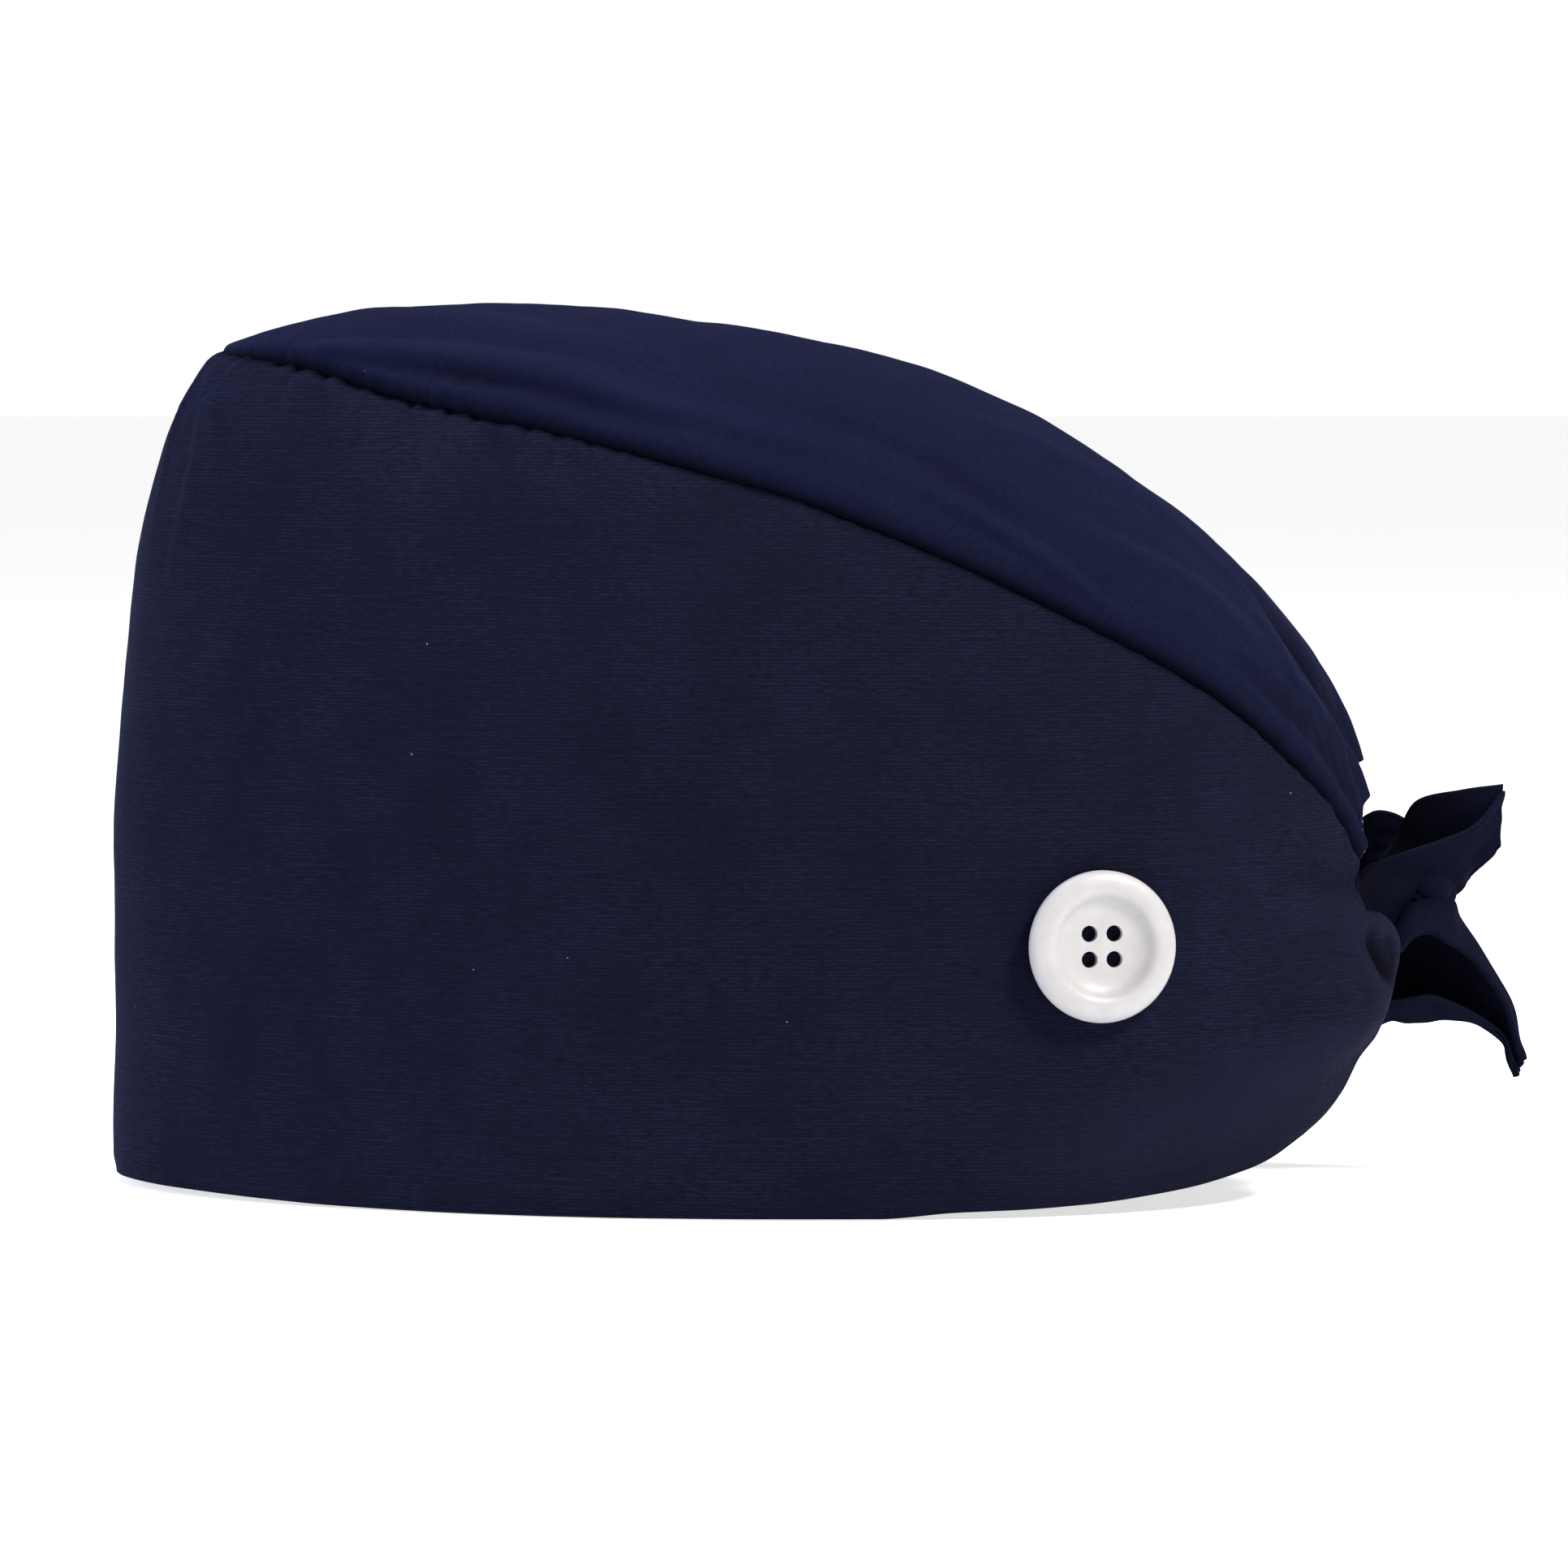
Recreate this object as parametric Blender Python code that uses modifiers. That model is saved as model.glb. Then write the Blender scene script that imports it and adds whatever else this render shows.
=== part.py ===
"""Scrub cap, tied at the back, with a button on each side for the loops of a mask.

Metres, +Z up. The cap stands on its own rim: the forehead faces -Y, the ties +Y, the wearer's left +X.
The cloth pieces follow one head form. A point of it is found from a turn, 0 at the middle of the
forehead and 180 degrees at the nape, and a height above the rim.
"""

import math
from collections import namedtuple

import bmesh
import bpy
import numpy as np
from mathutils import Matrix, Vector

# Cap
CAP_DEPTH = 0.2233
CAP_WIDTH = 0.161
CAP_HEIGHT = 0.152
WIDEST_AT = 0.120
CLOTH = 0.0016
SEAM_GAP = 0.0005
FRONT_SEAM_GAP = 0.0004
FRONT_GAP_TURN = 30.0
SEAM_GROOVE = 0.0010
SEAM_ROLL = 0.0045
HEM_HEIGHT = 0.008
BACK_HEM = 0.7
RIM_FLAT_TURN = 99.0
CROWN_PUFF = 0.0020
CROWN_PUFF_WIDTH = 0.011
DOME_MIDDLE = 0.060
FRONT_LEAN = 0.0175
FRONT_SEAM_TURN = 8.0

# Bunched ends of the band
PANEL_END_TURN = 160.0
LOBE_TURN = 8.5
LOBE_HEIGHT = 0.0380
LOBE_HALF_HEIGHT = 0.0118
LOBE_PUFF = 0.0022
LOBE_ROLL = 0.0014
LOBE_FROM = 0.86

# Elastic casing at the back edge of the crown
CASING_WIDTH = 0.0085
CASING_THICKNESS = 0.0030
CASING_ARCH = 0.86
CASING_GAP = 0.0008
CASING_SUNK = 0.0016
CASING_TILT = 0.0055
CASING_TAPER = 0.35
CASING_LEVEL = 0.045

# Ties and their knot
TIE_CLOTH = 0.0015
TIE_WIDTH = 0.0175
KNOT_BEHIND = 0.0057
KNOT_RISE = 0.0115
KNOT_HALF_WIDTH = 0.0060
KNOT_HALF_DEPTH = 0.0052
KNOT_HALF_HEIGHT = 0.0060
KNOT_WRAP = 0.0006
KNOT_GAP = 0.0004
UPPER_END_REACH = 0.0130
UPPER_END_RISE = 0.0137
LOWER_END_REACH = 0.0172
LOWER_END_DROP = 0.0320

# Buttons
BUTTON_DIAMETER = 0.0254
BUTTON_THICKNESS = 0.0034
BUTTON_TURN = 123.1
BUTTON_HEIGHT = 0.0453
BUTTON_GAP = 0.0003
HOLE_DIAMETER = 0.0025
HOLE_SPACING = 0.0041

# A button's section, from the middle of its face round the edge to its back, as shares of the radius and
# of the thickness.
ButtonRow = namedtuple("ButtonRow", "out up")
BUTTON_SECTION = [
    ButtonRow(0.00, 0.52),
    ButtonRow(0.42, 0.52),
    ButtonRow(0.54, 0.62),
    ButtonRow(0.66, 0.93),
    ButtonRow(0.76, 1.00),
    ButtonRow(0.88, 0.96),
    ButtonRow(0.98, 0.72),
    ButtonRow(1.00, 0.48),
    ButtonRow(0.94, 0.14),
    ButtonRow(0.80, 0.00),
    ButtonRow(0.00, 0.00),
]

# Linear colours
NAVY = (0.0091, 0.0110, 0.0319)
IVORY = (0.83, 0.79, 0.77)

# Faces along and across each piece of cloth
BAND_COLUMNS = 66
BAND_ROWS = 13
CROWN_ROWS = 36
CROWN_COLUMNS = 24
CASING_STATIONS = 22
TIE_ROWS = 14
TIE_COLUMNS = 6
BUTTON_SIDES = 32
HOLE_SIDES = 12

# The rim and the seam along the turn. Heights are shares of CAP_HEIGHT.
RimRow = namedtuple("RimRow", "turn height")
RIM = [
    RimRow(0, 0.0),
    RimRow(RIM_FLAT_TURN, 0.0),
    RimRow(108, 0.006),
    RimRow(118, 0.009),
    RimRow(126, 0.014),
    RimRow(138, 0.027),
    RimRow(147, 0.044),
    RimRow(152, 0.068),
    RimRow(156, 0.100),
    RimRow(160, 0.180),
]
SeamRow = namedtuple("SeamRow", "turn height")
SEAM = [
    SeamRow(0, 0.949),
    SeamRow(8, 0.941),
    SeamRow(20, 0.924),
    SeamRow(36, 0.889),
    SeamRow(59, 0.851),
    SeamRow(79, 0.811),
    SeamRow(91, 0.782),
    SeamRow(109, 0.715),
    SeamRow(123, 0.651),
    SeamRow(138, 0.562),
    SeamRow(147, 0.491),
    SeamRow(155, 0.418),
    SeamRow(160, 0.365),
]

# The head form. Heights are shares of CAP_HEIGHT, leans of FRONT_LEAN, depths of CAP_DEPTH and widths of
# CAP_WIDTH.
FrontRow = namedtuple("FrontRow", "height lean")
FRONT = [
    FrontRow(0.000, 0.00),
    FrontRow(0.400, 0.03),
    FrontRow(0.587, 0.12),
    FrontRow(0.700, 0.23),
    FrontRow(0.810, 0.43),
    FrontRow(0.866, 0.58),
    FrontRow(0.922, 0.82),
    FrontRow(0.949, 1.00),
    FrontRow(1.000, 1.50),
]
BackRow = namedtuple("BackRow", "height depth")
BACK = [
    BackRow(0.000, 0.954),
    BackRow(0.066, 0.972),
    BackRow(0.132, 0.988),
    BackRow(0.245, 1.000),
    BackRow(0.316, 0.995),
    BackRow(0.414, 0.980),
    BackRow(0.455, 0.976),
    BackRow(0.564, 0.951),
    BackRow(0.626, 0.925),
    BackRow(0.711, 0.875),
    BackRow(0.773, 0.824),
    BackRow(0.870, 0.722),
    BackRow(0.952, 0.570),
]
SideRow = namedtuple("SideRow", "height width")
SIDE = [
    SideRow(0.00, 0.985),
    SideRow(0.20, 1.000),
    SideRow(0.40, 1.000),
    SideRow(0.60, 0.975),
    SideRow(0.78, 0.910),
    SideRow(0.90, 0.800),
    SideRow(0.95, 0.720),
]
# How square the level outline is: 2 is an ellipse, more is squarer, less is more pointed.
OutlineRow = namedtuple("OutlineRow", "turn squareness")
OUTLINE = [
    OutlineRow(0, 2.10),
    OutlineRow(22, 1.86),
    OutlineRow(60, 1.90),
    OutlineRow(92, 2.10),
    OutlineRow(120, 2.60),
    OutlineRow(180, 2.60),
]
RIM_SQUARENESS = 2.15

# The middle line of the crown, from the forehead seam over the top to the casing. Along is the share of
# its length.
RidgeRow = namedtuple("RidgeRow", "along depth height")
RIDGE = [
    RidgeRow(0.000, 0.0795, 0.951),
    RidgeRow(0.036, 0.114, 0.970),
    RidgeRow(0.086, 0.165, 0.986),
    RidgeRow(0.135, 0.215, 0.996),
    RidgeRow(0.209, 0.291, 1.000),
    RidgeRow(0.284, 0.368, 0.998),
    RidgeRow(0.382, 0.469, 0.981),
    RidgeRow(0.482, 0.570, 0.952),
    RidgeRow(0.585, 0.671, 0.907),
    RidgeRow(0.697, 0.773, 0.824),
    RidgeRow(0.821, 0.873, 0.711),
    RidgeRow(0.896, 0.923, 0.626),
    RidgeRow(0.943, 0.949, 0.564),
    RidgeRow(1.000, 0.972, 0.484),
]

# Soft folds of the crown. Along runs from the forehead to the casing, across from the middle line to
# the seam. Heights are shares of FOLD_HEIGHT and widths of FOLD_WIDTH; a valley has a height under 0.
FOLD_HEIGHT = 0.0024
FOLD_WIDTH = 0.010
Fold = namedtuple("Fold", "along_from across_from along_to across_to height width")
FOLDS = [
    Fold(0.02, 0.80, 0.50, 0.74, 0.70, 0.9),
    Fold(0.04, 0.95, 0.46, 0.90, -0.55, 0.8),
    Fold(0.08, 0.34, 0.30, 0.30, 0.40, 0.9),
    Fold(0.60, 0.72, 0.78, 0.88, 0.55, 0.9),
    Fold(0.62, 0.30, 0.92, 0.20, 0.55, 1.0),
    Fold(0.72, 0.62, 0.88, 0.54, 0.45, 0.8),
    Fold(0.84, 0.52, 1.08, 0.46, 0.60, 0.6),
    Fold(0.84, 0.26, 1.08, 0.26, -1.30, 0.8),
    Fold(0.86, 0.78, 1.08, 0.74, -0.80, 0.6),
    Fold(0.86, 0.00, 1.08, 0.00, -0.10, 0.6),
]

# Sections of the ties, from the bunched end of the band to the end at the knot or the free end. Lobe and
# knot are shares of the sideways places of the lobe's tip and of the knot's side, and tuck is how deep the
# strap lies inside the lobe. Back and rise are shares of the way from the lobe's tip to that end. Width is
# a share of TIE_WIDTH, and cup a share of the width. Slant tips the top edge towards the back and lean
# towards the wearer's middle, in degrees.
Section = namedtuple("Section", "lobe knot tuck back rise width slant lean cup")
LEFT_TIE = [
    Section(1.22, 0.00, 1.36, 0.000, 0.000, 0.90, 0, 0, 0.00),
    Section(0.93, 0.00, 0.90, 0.000, 0.014, 1.00, 0, 0, 0.00),
    Section(0.35, 0.60, 0.35, 0.017, 0.283, 0.98, 4, 2, 0.04),
    Section(0.00, 1.10, 0.00, 0.144, 0.603, 0.92, 10, 6, 0.06),
    Section(0.00, 0.80, 0.00, 0.470, 0.810, 1.00, -3, 17, 0.17),
    Section(0.00, 0.58, 0.00, 0.710, 0.875, 0.94, 2, 14, 0.15),
    Section(0.00, 0.50, 0.00, 0.864, 0.935, 0.77, 2, 9, 0.10),
    Section(0.00, 0.50, 0.00, 1.000, 1.000, 0.62, 3, 5, 0.04),
]
RIGHT_TIE = [
    Section(1.22, 0.00, 1.36, 0.00, 0.00, 0.90, 0, 0, 0.00),
    Section(0.93, 0.00, 0.90, 0.00, 0.10, 1.00, 0, 0, 0.00),
    Section(0.35, 0.60, 0.35, 0.05, 1.24, 0.98, 0, 0, 0.03),
    Section(0.00, 1.05, 0.00, 0.50, 1.44, 0.90, 0, 0, 0.03),
    Section(0.00, 1.00, 0.00, 1.10, 1.26, 0.75, 0, 0, 0.00),
]
LOWER_TAIL = [
    Section(0.00, 1.10, 0.00, 0.158, -0.207, 0.70, 25, -3, -0.03),
    Section(0.00, 1.35, 0.00, 0.283, 0.015, 1.25, 27, -4, -0.12),
    Section(0.00, 1.20, 0.00, 0.498, 0.190, 0.78, 24, -3, -0.20),
    Section(0.00, 1.00, 0.00, 0.683, 0.337, 0.48, 23, 0, -0.18),
    Section(0.00, 0.80, 0.00, 0.862, 0.532, 0.32, 10, 0, -0.10),
    Section(0.00, 0.60, 0.00, 0.942, 0.829, 0.16, 50, 0, 0.00),
    Section(0.00, 0.50, 0.00, 0.967, 0.969, 0.12, 45, 0, 0.00),
]

# The pieces are worked out from the forehead back. The origin is under the middle of the whole length.
MIDDLE_TO_ORIGIN = Vector((0, -(CAP_DEPTH + KNOT_BEHIND + LOWER_END_REACH) / 2, 0))


def monotone(places, values, at):
    """A smooth curve through the values that doesn't swing past them."""
    places = np.asarray(places, float)
    values = np.asarray(values, float)
    at = np.clip(np.asarray(at, float), places[0], places[-1])
    step = np.diff(places)
    slope = np.diff(values) / step
    bend = np.zeros(len(places))
    bend[0], bend[-1] = slope[0], slope[-1]
    for i in range(1, len(places) - 1):
        if slope[i - 1] * slope[i] > 0:
            before = 2 * step[i] + step[i - 1]
            after = step[i] + 2 * step[i - 1]
            bend[i] = (before + after) / (before / slope[i - 1] + after / slope[i])
    k = np.clip(np.searchsorted(places, at, side="right") - 1, 0, len(places) - 2)
    s = (at - places[k]) / step[k]
    start = values[k] * (1 + 2 * s) * (1 - s) ** 2 + bend[k] * step[k] * s * (1 - s) ** 2
    end = values[k + 1] * s * s * (3 - 2 * s) + bend[k + 1] * step[k] * s * s * (s - 1)
    return start + end


def column(table, name):
    return [getattr(row, name) for row in table]


def read(table, by, name, at):
    """The table's named column at these places of its first one, smoothly."""
    return monotone(column(table, by), column(table, name), at)


def ease(share):
    share = np.clip(share, 0, 1)
    return share * share * (3 - 2 * share)


def bump(share):
    """A round bump: 1 at 0, and 0 from 1 on."""
    return np.clip(1 - np.square(share), 0, 1)


def hill(share):
    """A soft bump: 1 at 0, and 0 from 1 on."""
    return np.where(np.abs(share) < 1, 0.5 + 0.5 * np.cos(math.pi * np.clip(share, -1, 1)), 0.0)


def seam_height(turn):
    return CAP_HEIGHT * read(SEAM, "turn", "height", turn)


def half_gap(turn):
    """Half of the gap between band and crown: wider at the forehead, where they meet at an angle."""
    return SEAM_GAP / 2 + FRONT_SEAM_GAP / 2 * (1 - ease(turn / FRONT_GAP_TURN))


def rim_height(turn):
    return CAP_HEIGHT * read(RIM, "turn", "height", turn)


def form(turn, height):
    """Points on the head form. A negative turn is on the wearer's right."""
    side = np.sign(turn)
    turn = np.abs(turn)
    angle = np.radians(turn)
    share = height / CAP_HEIGHT
    front = FRONT_LEAN * read(FRONT, "height", "lean", share)
    back = CAP_DEPTH * read(BACK, "height", "depth", share)
    reach = np.where(turn < 90, WIDEST_AT - front, back - WIDEST_AT)
    half = CAP_WIDTH / 2 * read(SIDE, "height", "width", share)
    square = read(OUTLINE, "turn", "squareness", turn)
    low = (1 - ease(share / 0.26)) * ease((turn - 92) / 30)
    square = square + (RIM_SQUARENESS - square) * low
    across = (np.abs(np.sin(angle)) / half) ** square
    along = (np.abs(np.cos(angle)) / reach) ** square
    radius = (across + along) ** (-1 / square)
    x = side * radius * np.sin(angle)
    y = WIDEST_AT - radius * np.cos(angle)
    return np.stack(np.broadcast_arrays(x, y, height), axis=-1)


def normals(surface, a, b, step_a, step_b):
    """Unit normals of a surface function of two numbers."""
    along_a = surface(a + step_a, b) - surface(a - step_a, b)
    along_b = surface(a, b + step_b) - surface(a, b - step_b)
    normal = np.cross(along_a, along_b)
    return normal / np.linalg.norm(normal, axis=-1, keepdims=True)


def lobe_turn(height):
    return LOBE_TURN * bump((height - LOBE_HEIGHT) / LOBE_HALF_HEIGHT)


def lobe_relief(end_share, height):
    """How far the bunched end stands out of the head form: puffed, then rolled in at its edge."""
    upright = bump((height - LOBE_HEIGHT) / (1.25 * LOBE_HALF_HEIGHT))
    puff = LOBE_PUFF * ease(end_share) * upright
    roll = (LOBE_PUFF + LOBE_ROLL) * np.clip(2.5 * end_share - 1.5, 0, 1) ** 2 * upright
    return puff - roll


def band_rows():
    """Each row's share of the height between hem and seam, its drop under the hem's top and its distance
    from the seam."""
    rows = [(0.0, HEM_HEIGHT, SEAM_ROLL)]
    rows += [(share, 0.0, SEAM_ROLL) for share in np.linspace(0, 1, BAND_ROWS - 3)]
    return rows + [(1.0, 0.0, SEAM_ROLL / 2), (1.0, 0.0, 0.0)]


def seam_relief(distance):
    return -SEAM_GROOVE * np.clip(1 - distance / SEAM_ROLL, 0, 1) ** 2


def band_point(lengthwise, share, drop, from_seam):
    """Points of the band. Lengthwise runs from -1, the right end, to 1, the left one."""
    side = np.sign(lengthwise)
    turn = PANEL_END_TURN * np.abs(lengthwise)
    end_share = (np.abs(lengthwise) - LOBE_FROM) / (1 - LOBE_FROM)
    top = seam_height(turn) - half_gap(turn)
    upright = 1 - ease((turn - RIM_FLAT_TURN) / 15)
    shorter = 1 - BACK_HEM * (1 - upright)
    hem = rim_height(turn) + HEM_HEIGHT * shorter
    height = hem + share * (top - from_seam - hem) - drop * shorter * (1 - upright)
    turn = side * (turn + lobe_turn(height) * ease(end_share))
    out = normals(form, turn, height, 0.2, 0.0004)
    relief = seam_relief(top - height) + lobe_relief(end_share, height)
    spot = form(turn, height) + out * relief[..., None]
    spot[..., 2] -= drop * upright
    return spot


def crown_seam(turn):
    """The crown's own edge along the seam."""
    return form(turn, seam_height(np.abs(turn)) + half_gap(np.abs(turn)))


def crown_arch(along, across):
    """Arches from seam to seam over the crown's middle line."""
    side_turn = FRONT_SEAM_TURN + (PANEL_END_TURN - FRONT_SEAM_TURN) * along
    foot = crown_seam(side_turn)
    ridge = np.stack([0 * along, ridge_depth(along), ridge_height(along)], axis=-1)
    angle = math.pi / 2 * across
    fall = (1 - np.cos(angle))[..., None]
    arch = ridge + (foot - ridge) * fall
    arch[..., 0] = foot[..., 0] * np.sin(angle)
    return arch


def crown_form(along, across):
    """The crown before its folds, its front edge on the seam at the forehead."""
    front = crown_seam(FRONT_SEAM_TURN * across)
    blend = (1 - ease(along / 0.08))[..., None]
    return crown_arch(along, across) + (front - crown_arch(0 * along, across)) * blend


def ridge_depth(along):
    return CAP_DEPTH * read(RIDGE, "along", "depth", along)


def ridge_height(along):
    return CAP_HEIGHT * read(RIDGE, "along", "height", along)


def seam_distance(points):
    """How far each point is from the crown's seam."""
    seam = crown_seam(np.linspace(-PANEL_END_TURN, PANEL_END_TURN, 241))
    start, run = seam[:-1], np.diff(seam, axis=0)
    away = points[..., None, :] - start
    share = np.clip((away * run).sum(axis=-1) / (run**2).sum(axis=-1), 0, 1)
    away = away - run * share[..., None]
    return np.sqrt((away**2).sum(axis=-1)).min(axis=-1)


def dome_normals(points):
    """Outward directions of a plain ellipsoid about as big as the cap, at these points."""
    middle = np.array([0, CAP_DEPTH / 2, DOME_MIDDLE])
    half = np.array([CAP_WIDTH / 2, CAP_DEPTH / 2, CAP_HEIGHT - DOME_MIDDLE])
    slope = (points - middle) / half**2
    return slope / np.linalg.norm(slope, axis=-1, keepdims=True)


def fold_relief(along, across, arch_length):
    relief = np.zeros(np.broadcast(along, across).shape)
    for fold in FOLDS:
        share = (along - fold.along_from) / (fold.along_to - fold.along_from)
        middle = fold.across_from + (fold.across_to - fold.across_from) * share
        beside = (np.abs(across) - middle) * arch_length / (FOLD_WIDTH * fold.width)
        strength = ease(share / 0.25) * ease((1 - share) / 0.25)
        relief += FOLD_HEIGHT * fold.height * strength * hill(beside)
    return relief


def crown_point(along, across):
    base = crown_form(along, across)
    out = dome_normals(base)
    distance = seam_distance(base)
    foot = crown_form(along, np.ones_like(across))
    top = crown_form(along, np.zeros_like(across))
    arch_length = 1.15 * np.linalg.norm(foot - top, axis=-1)
    puff = CROWN_PUFF * hill(distance / CROWN_PUFF_WIDTH - 1) * ease(along / 0.2) * ease((1 - along) / 0.1)
    relief = seam_relief(distance) + puff
    relief = relief + fold_relief(along, across, arch_length) * ease(distance / SEAM_ROLL)
    return base + out * relief[..., None]


def nape_edge(lengthwise):
    """The cloth's edge round the gap at the nape: over the gap along the crown, down both ends of the
    band to the lobes."""
    side = np.sign(lengthwise)
    arch = crown_form(np.ones_like(lengthwise), np.clip(lengthwise / CASING_ARCH, -1, 1))
    down = np.clip((np.abs(lengthwise) - CASING_ARCH) / (1 - CASING_ARCH), 0, 1)
    foot = seam_height(PANEL_END_TURN) + SEAM_GAP / 2
    end = LOBE_HEIGHT + LOBE_HALF_HEIGHT + SEAM_GAP
    leg = form(side * PANEL_END_TURN, foot + (end - foot) * down)
    return np.where(down[..., None] > 0, leg, arch)


def casing_point(lengthwise, across):
    """Points of the casing's outer face. Across runs from its edge at the crown to its free edge."""
    spot = nape_edge(lengthwise)
    run = nape_edge(lengthwise + 0.01) - nape_edge(lengthwise - 0.01)
    run = run / np.linalg.norm(run, axis=-1, keepdims=True)
    down = ease((np.abs(lengthwise) - CASING_ARCH) / (1 - CASING_ARCH))
    out = np.stack([spot[..., 0] * 2.2, spot[..., 1] - WIDEST_AT, spot[..., 2] - CASING_LEVEL], axis=-1)
    into = np.cross(out, run)
    into = into / np.linalg.norm(into, axis=-1, keepdims=True)
    out = np.cross(run, into)
    inset = CASING_GAP + CASING_WIDTH * across * (1 - CASING_TAPER * down)
    sunk = CASING_SUNK + CASING_TILT * across
    return spot + into * inset[..., None] - out * sunk[..., None]


def knot_centre():
    return Vector((0, CAP_DEPTH + KNOT_BEHIND, LOBE_HEIGHT + KNOT_RISE))


def tie_end(reach, rise):
    """The end that a strap's shares run to: this far behind the knot's middle and above it."""
    return knot_centre() + Vector((0, reach, rise))


def tie_point(sections, side, end, lengthwise, across):
    """Points of a strap's middle layer. Lengthwise and across run from 0 to 1, across from the top edge."""
    tip = form(side * (PANEL_END_TURN + LOBE_TURN), LOBE_HEIGHT)
    clear = KNOT_HALF_WIDTH + KNOT_GAP + TIE_CLOTH / 2
    deep = LOBE_ROLL + CLOTH + KNOT_GAP + TIE_CLOTH / 2

    def at(name, place):
        return monotone(np.linspace(0, 1, len(sections)), column(sections, name), place)

    def centre(place):
        x = side * (at("lobe", place) * abs(tip[0]) + at("knot", place) * clear)
        y = tip[1] - at("tuck", place) * deep + at("back", place) * (end.y - tip[1])
        z = tip[2] + at("rise", place) * (end.z - tip[2])
        return np.stack([x, y, z], axis=-1)

    slant = np.radians(at("slant", lengthwise))
    lean = np.radians(at("lean", lengthwise))
    upright = np.stack(
        [
            -side * np.sin(lean),
            np.sin(slant) * np.cos(lean),
            np.cos(slant) * np.cos(lean),
        ],
        axis=-1,
    )
    run = centre(lengthwise + 0.01) - centre(lengthwise - 0.01)
    face = np.cross(run, upright)
    face = face / np.linalg.norm(face, axis=-1, keepdims=True)
    width = TIE_WIDTH * at("width", lengthwise)
    cup = at("cup", lengthwise) * width * (1 - (2 * across - 1) ** 2)
    offset = width * (0.5 - across)
    return centre(lengthwise) + upright * offset[..., None] + face * cup[..., None]


def principled(name, colour, roughness, sheen=0.0):
    """A material for one piece. The colour is linear."""
    material = bpy.data.materials.new(name)
    material.use_nodes = True
    shader = material.node_tree.nodes["Principled BSDF"]
    shader.inputs["Base Color"].default_value = (*colour, 1.0)
    shader.inputs["Roughness"].default_value = roughness
    shader.inputs["Metallic"].default_value = 0.0
    shader.inputs["Sheen Weight"].default_value = sheen
    return material


def add_object(name, mesh, material, collection):
    piece = bpy.data.objects.new(name, mesh)
    mesh.materials.append(material)
    collection.objects.link(piece)
    return piece


def sheet_mesh(name, points):
    """A grid of faces with its corners at these rows and columns of points."""
    rows, columns = points.shape[:2]
    cloth = bmesh.new()
    bmesh.ops.create_grid(cloth, x_segments=columns - 1, y_segments=rows - 1, size=1)
    for vertex in cloth.verts:
        column_at = round((vertex.co.x + 1) / 2 * (columns - 1))
        row_at = round((vertex.co.y + 1) / 2 * (rows - 1))
        vertex.co = Vector(points[row_at, column_at]) + MIDDLE_TO_ORIGIN
    for face in cloth.faces:
        face.smooth = True
    mesh = bpy.data.meshes.new(name)
    cloth.to_mesh(mesh)
    cloth.free()
    return mesh


def thicken(piece, thickness, offset):
    wall = piece.modifiers.new("wall", "SOLIDIFY")
    wall.thickness = thickness
    wall.offset = offset
    wall.use_even_offset = True
    wall.use_rim = True


def closer_at_ends(share, pull):
    """Shares from 0 to 1 that lie closer together at both ends."""
    return share - pull * np.sin(2 * math.pi * share) / (2 * math.pi)


def add_band(collection):
    half = closer_at_ends(np.linspace(0, 1, BAND_COLUMNS // 2 + 1), 0.5)
    lengthwise = np.concatenate([-half[:0:-1], half])
    rows = [band_point(lengthwise, *row) for row in band_rows()]
    mesh = sheet_mesh("band_panel", np.array(rows))
    piece = add_object("band_panel", mesh, principled("band_cloth", NAVY, 0.85, 0.3), collection)
    thicken(piece, CLOTH, -1)


def add_crown(collection):
    along = closer_at_ends(np.linspace(0, 1, CROWN_ROWS + 1), 0.6)
    step = np.linspace(-1, 1, CROWN_COLUMNS + 1)
    across = np.sign(step) * (1 - (1 - np.abs(step)) ** 1.3)
    along, across = np.meshgrid(along, across, indexing="ij")
    mesh = sheet_mesh("crown_panel", crown_point(along, across))
    piece = add_object("crown_panel", mesh, principled("crown_cloth", NAVY, 0.8, 0.3), collection)
    thicken(piece, CLOTH, -1)


def add_casing(collection):
    lengthwise, across = np.meshgrid(
        np.linspace(-1, 1, CASING_STATIONS + 1), np.linspace(0, 1, 4), indexing="ij"
    )
    mesh = sheet_mesh("back_casing", casing_point(lengthwise, across))
    piece = add_object("back_casing", mesh, principled("casing_cloth", NAVY, 0.85), collection)
    thicken(piece, CASING_THICKNESS, -1)


def add_strap(name, sections, side, end, collection):
    lengthwise, across = np.meshgrid(
        np.linspace(0, 1, TIE_ROWS + 1), np.linspace(0, 1, TIE_COLUMNS + 1), indexing="ij"
    )
    mesh = sheet_mesh(name, tie_point(sections, side, end, lengthwise, across))
    piece = add_object(name, mesh, principled(name + "_cloth", NAVY, 0.8), collection)
    thicken(piece, TIE_CLOTH, 0)


def add_knot(collection):
    """The ties where they cross: a lump with two wraps showing."""
    lump = bmesh.new()
    bmesh.ops.create_uvsphere(lump, u_segments=18, v_segments=12, radius=1)
    for vertex in lump.verts:
        wrap = 1 - abs(math.sin(2.6 * (vertex.co.z + 0.6 * vertex.co.y)))
        size = Vector((KNOT_HALF_WIDTH, KNOT_HALF_DEPTH, KNOT_HALF_HEIGHT)) - Vector((1, 1, 1)) * KNOT_WRAP * wrap
        vertex.co = vertex.co * size + knot_centre() + MIDDLE_TO_ORIGIN
    for face in lump.faces:
        face.smooth = True
    mesh = bpy.data.meshes.new("tie_knot")
    lump.to_mesh(mesh)
    lump.free()
    add_object("tie_knot", mesh, principled("knot_cloth", NAVY, 0.85), collection)


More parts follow.
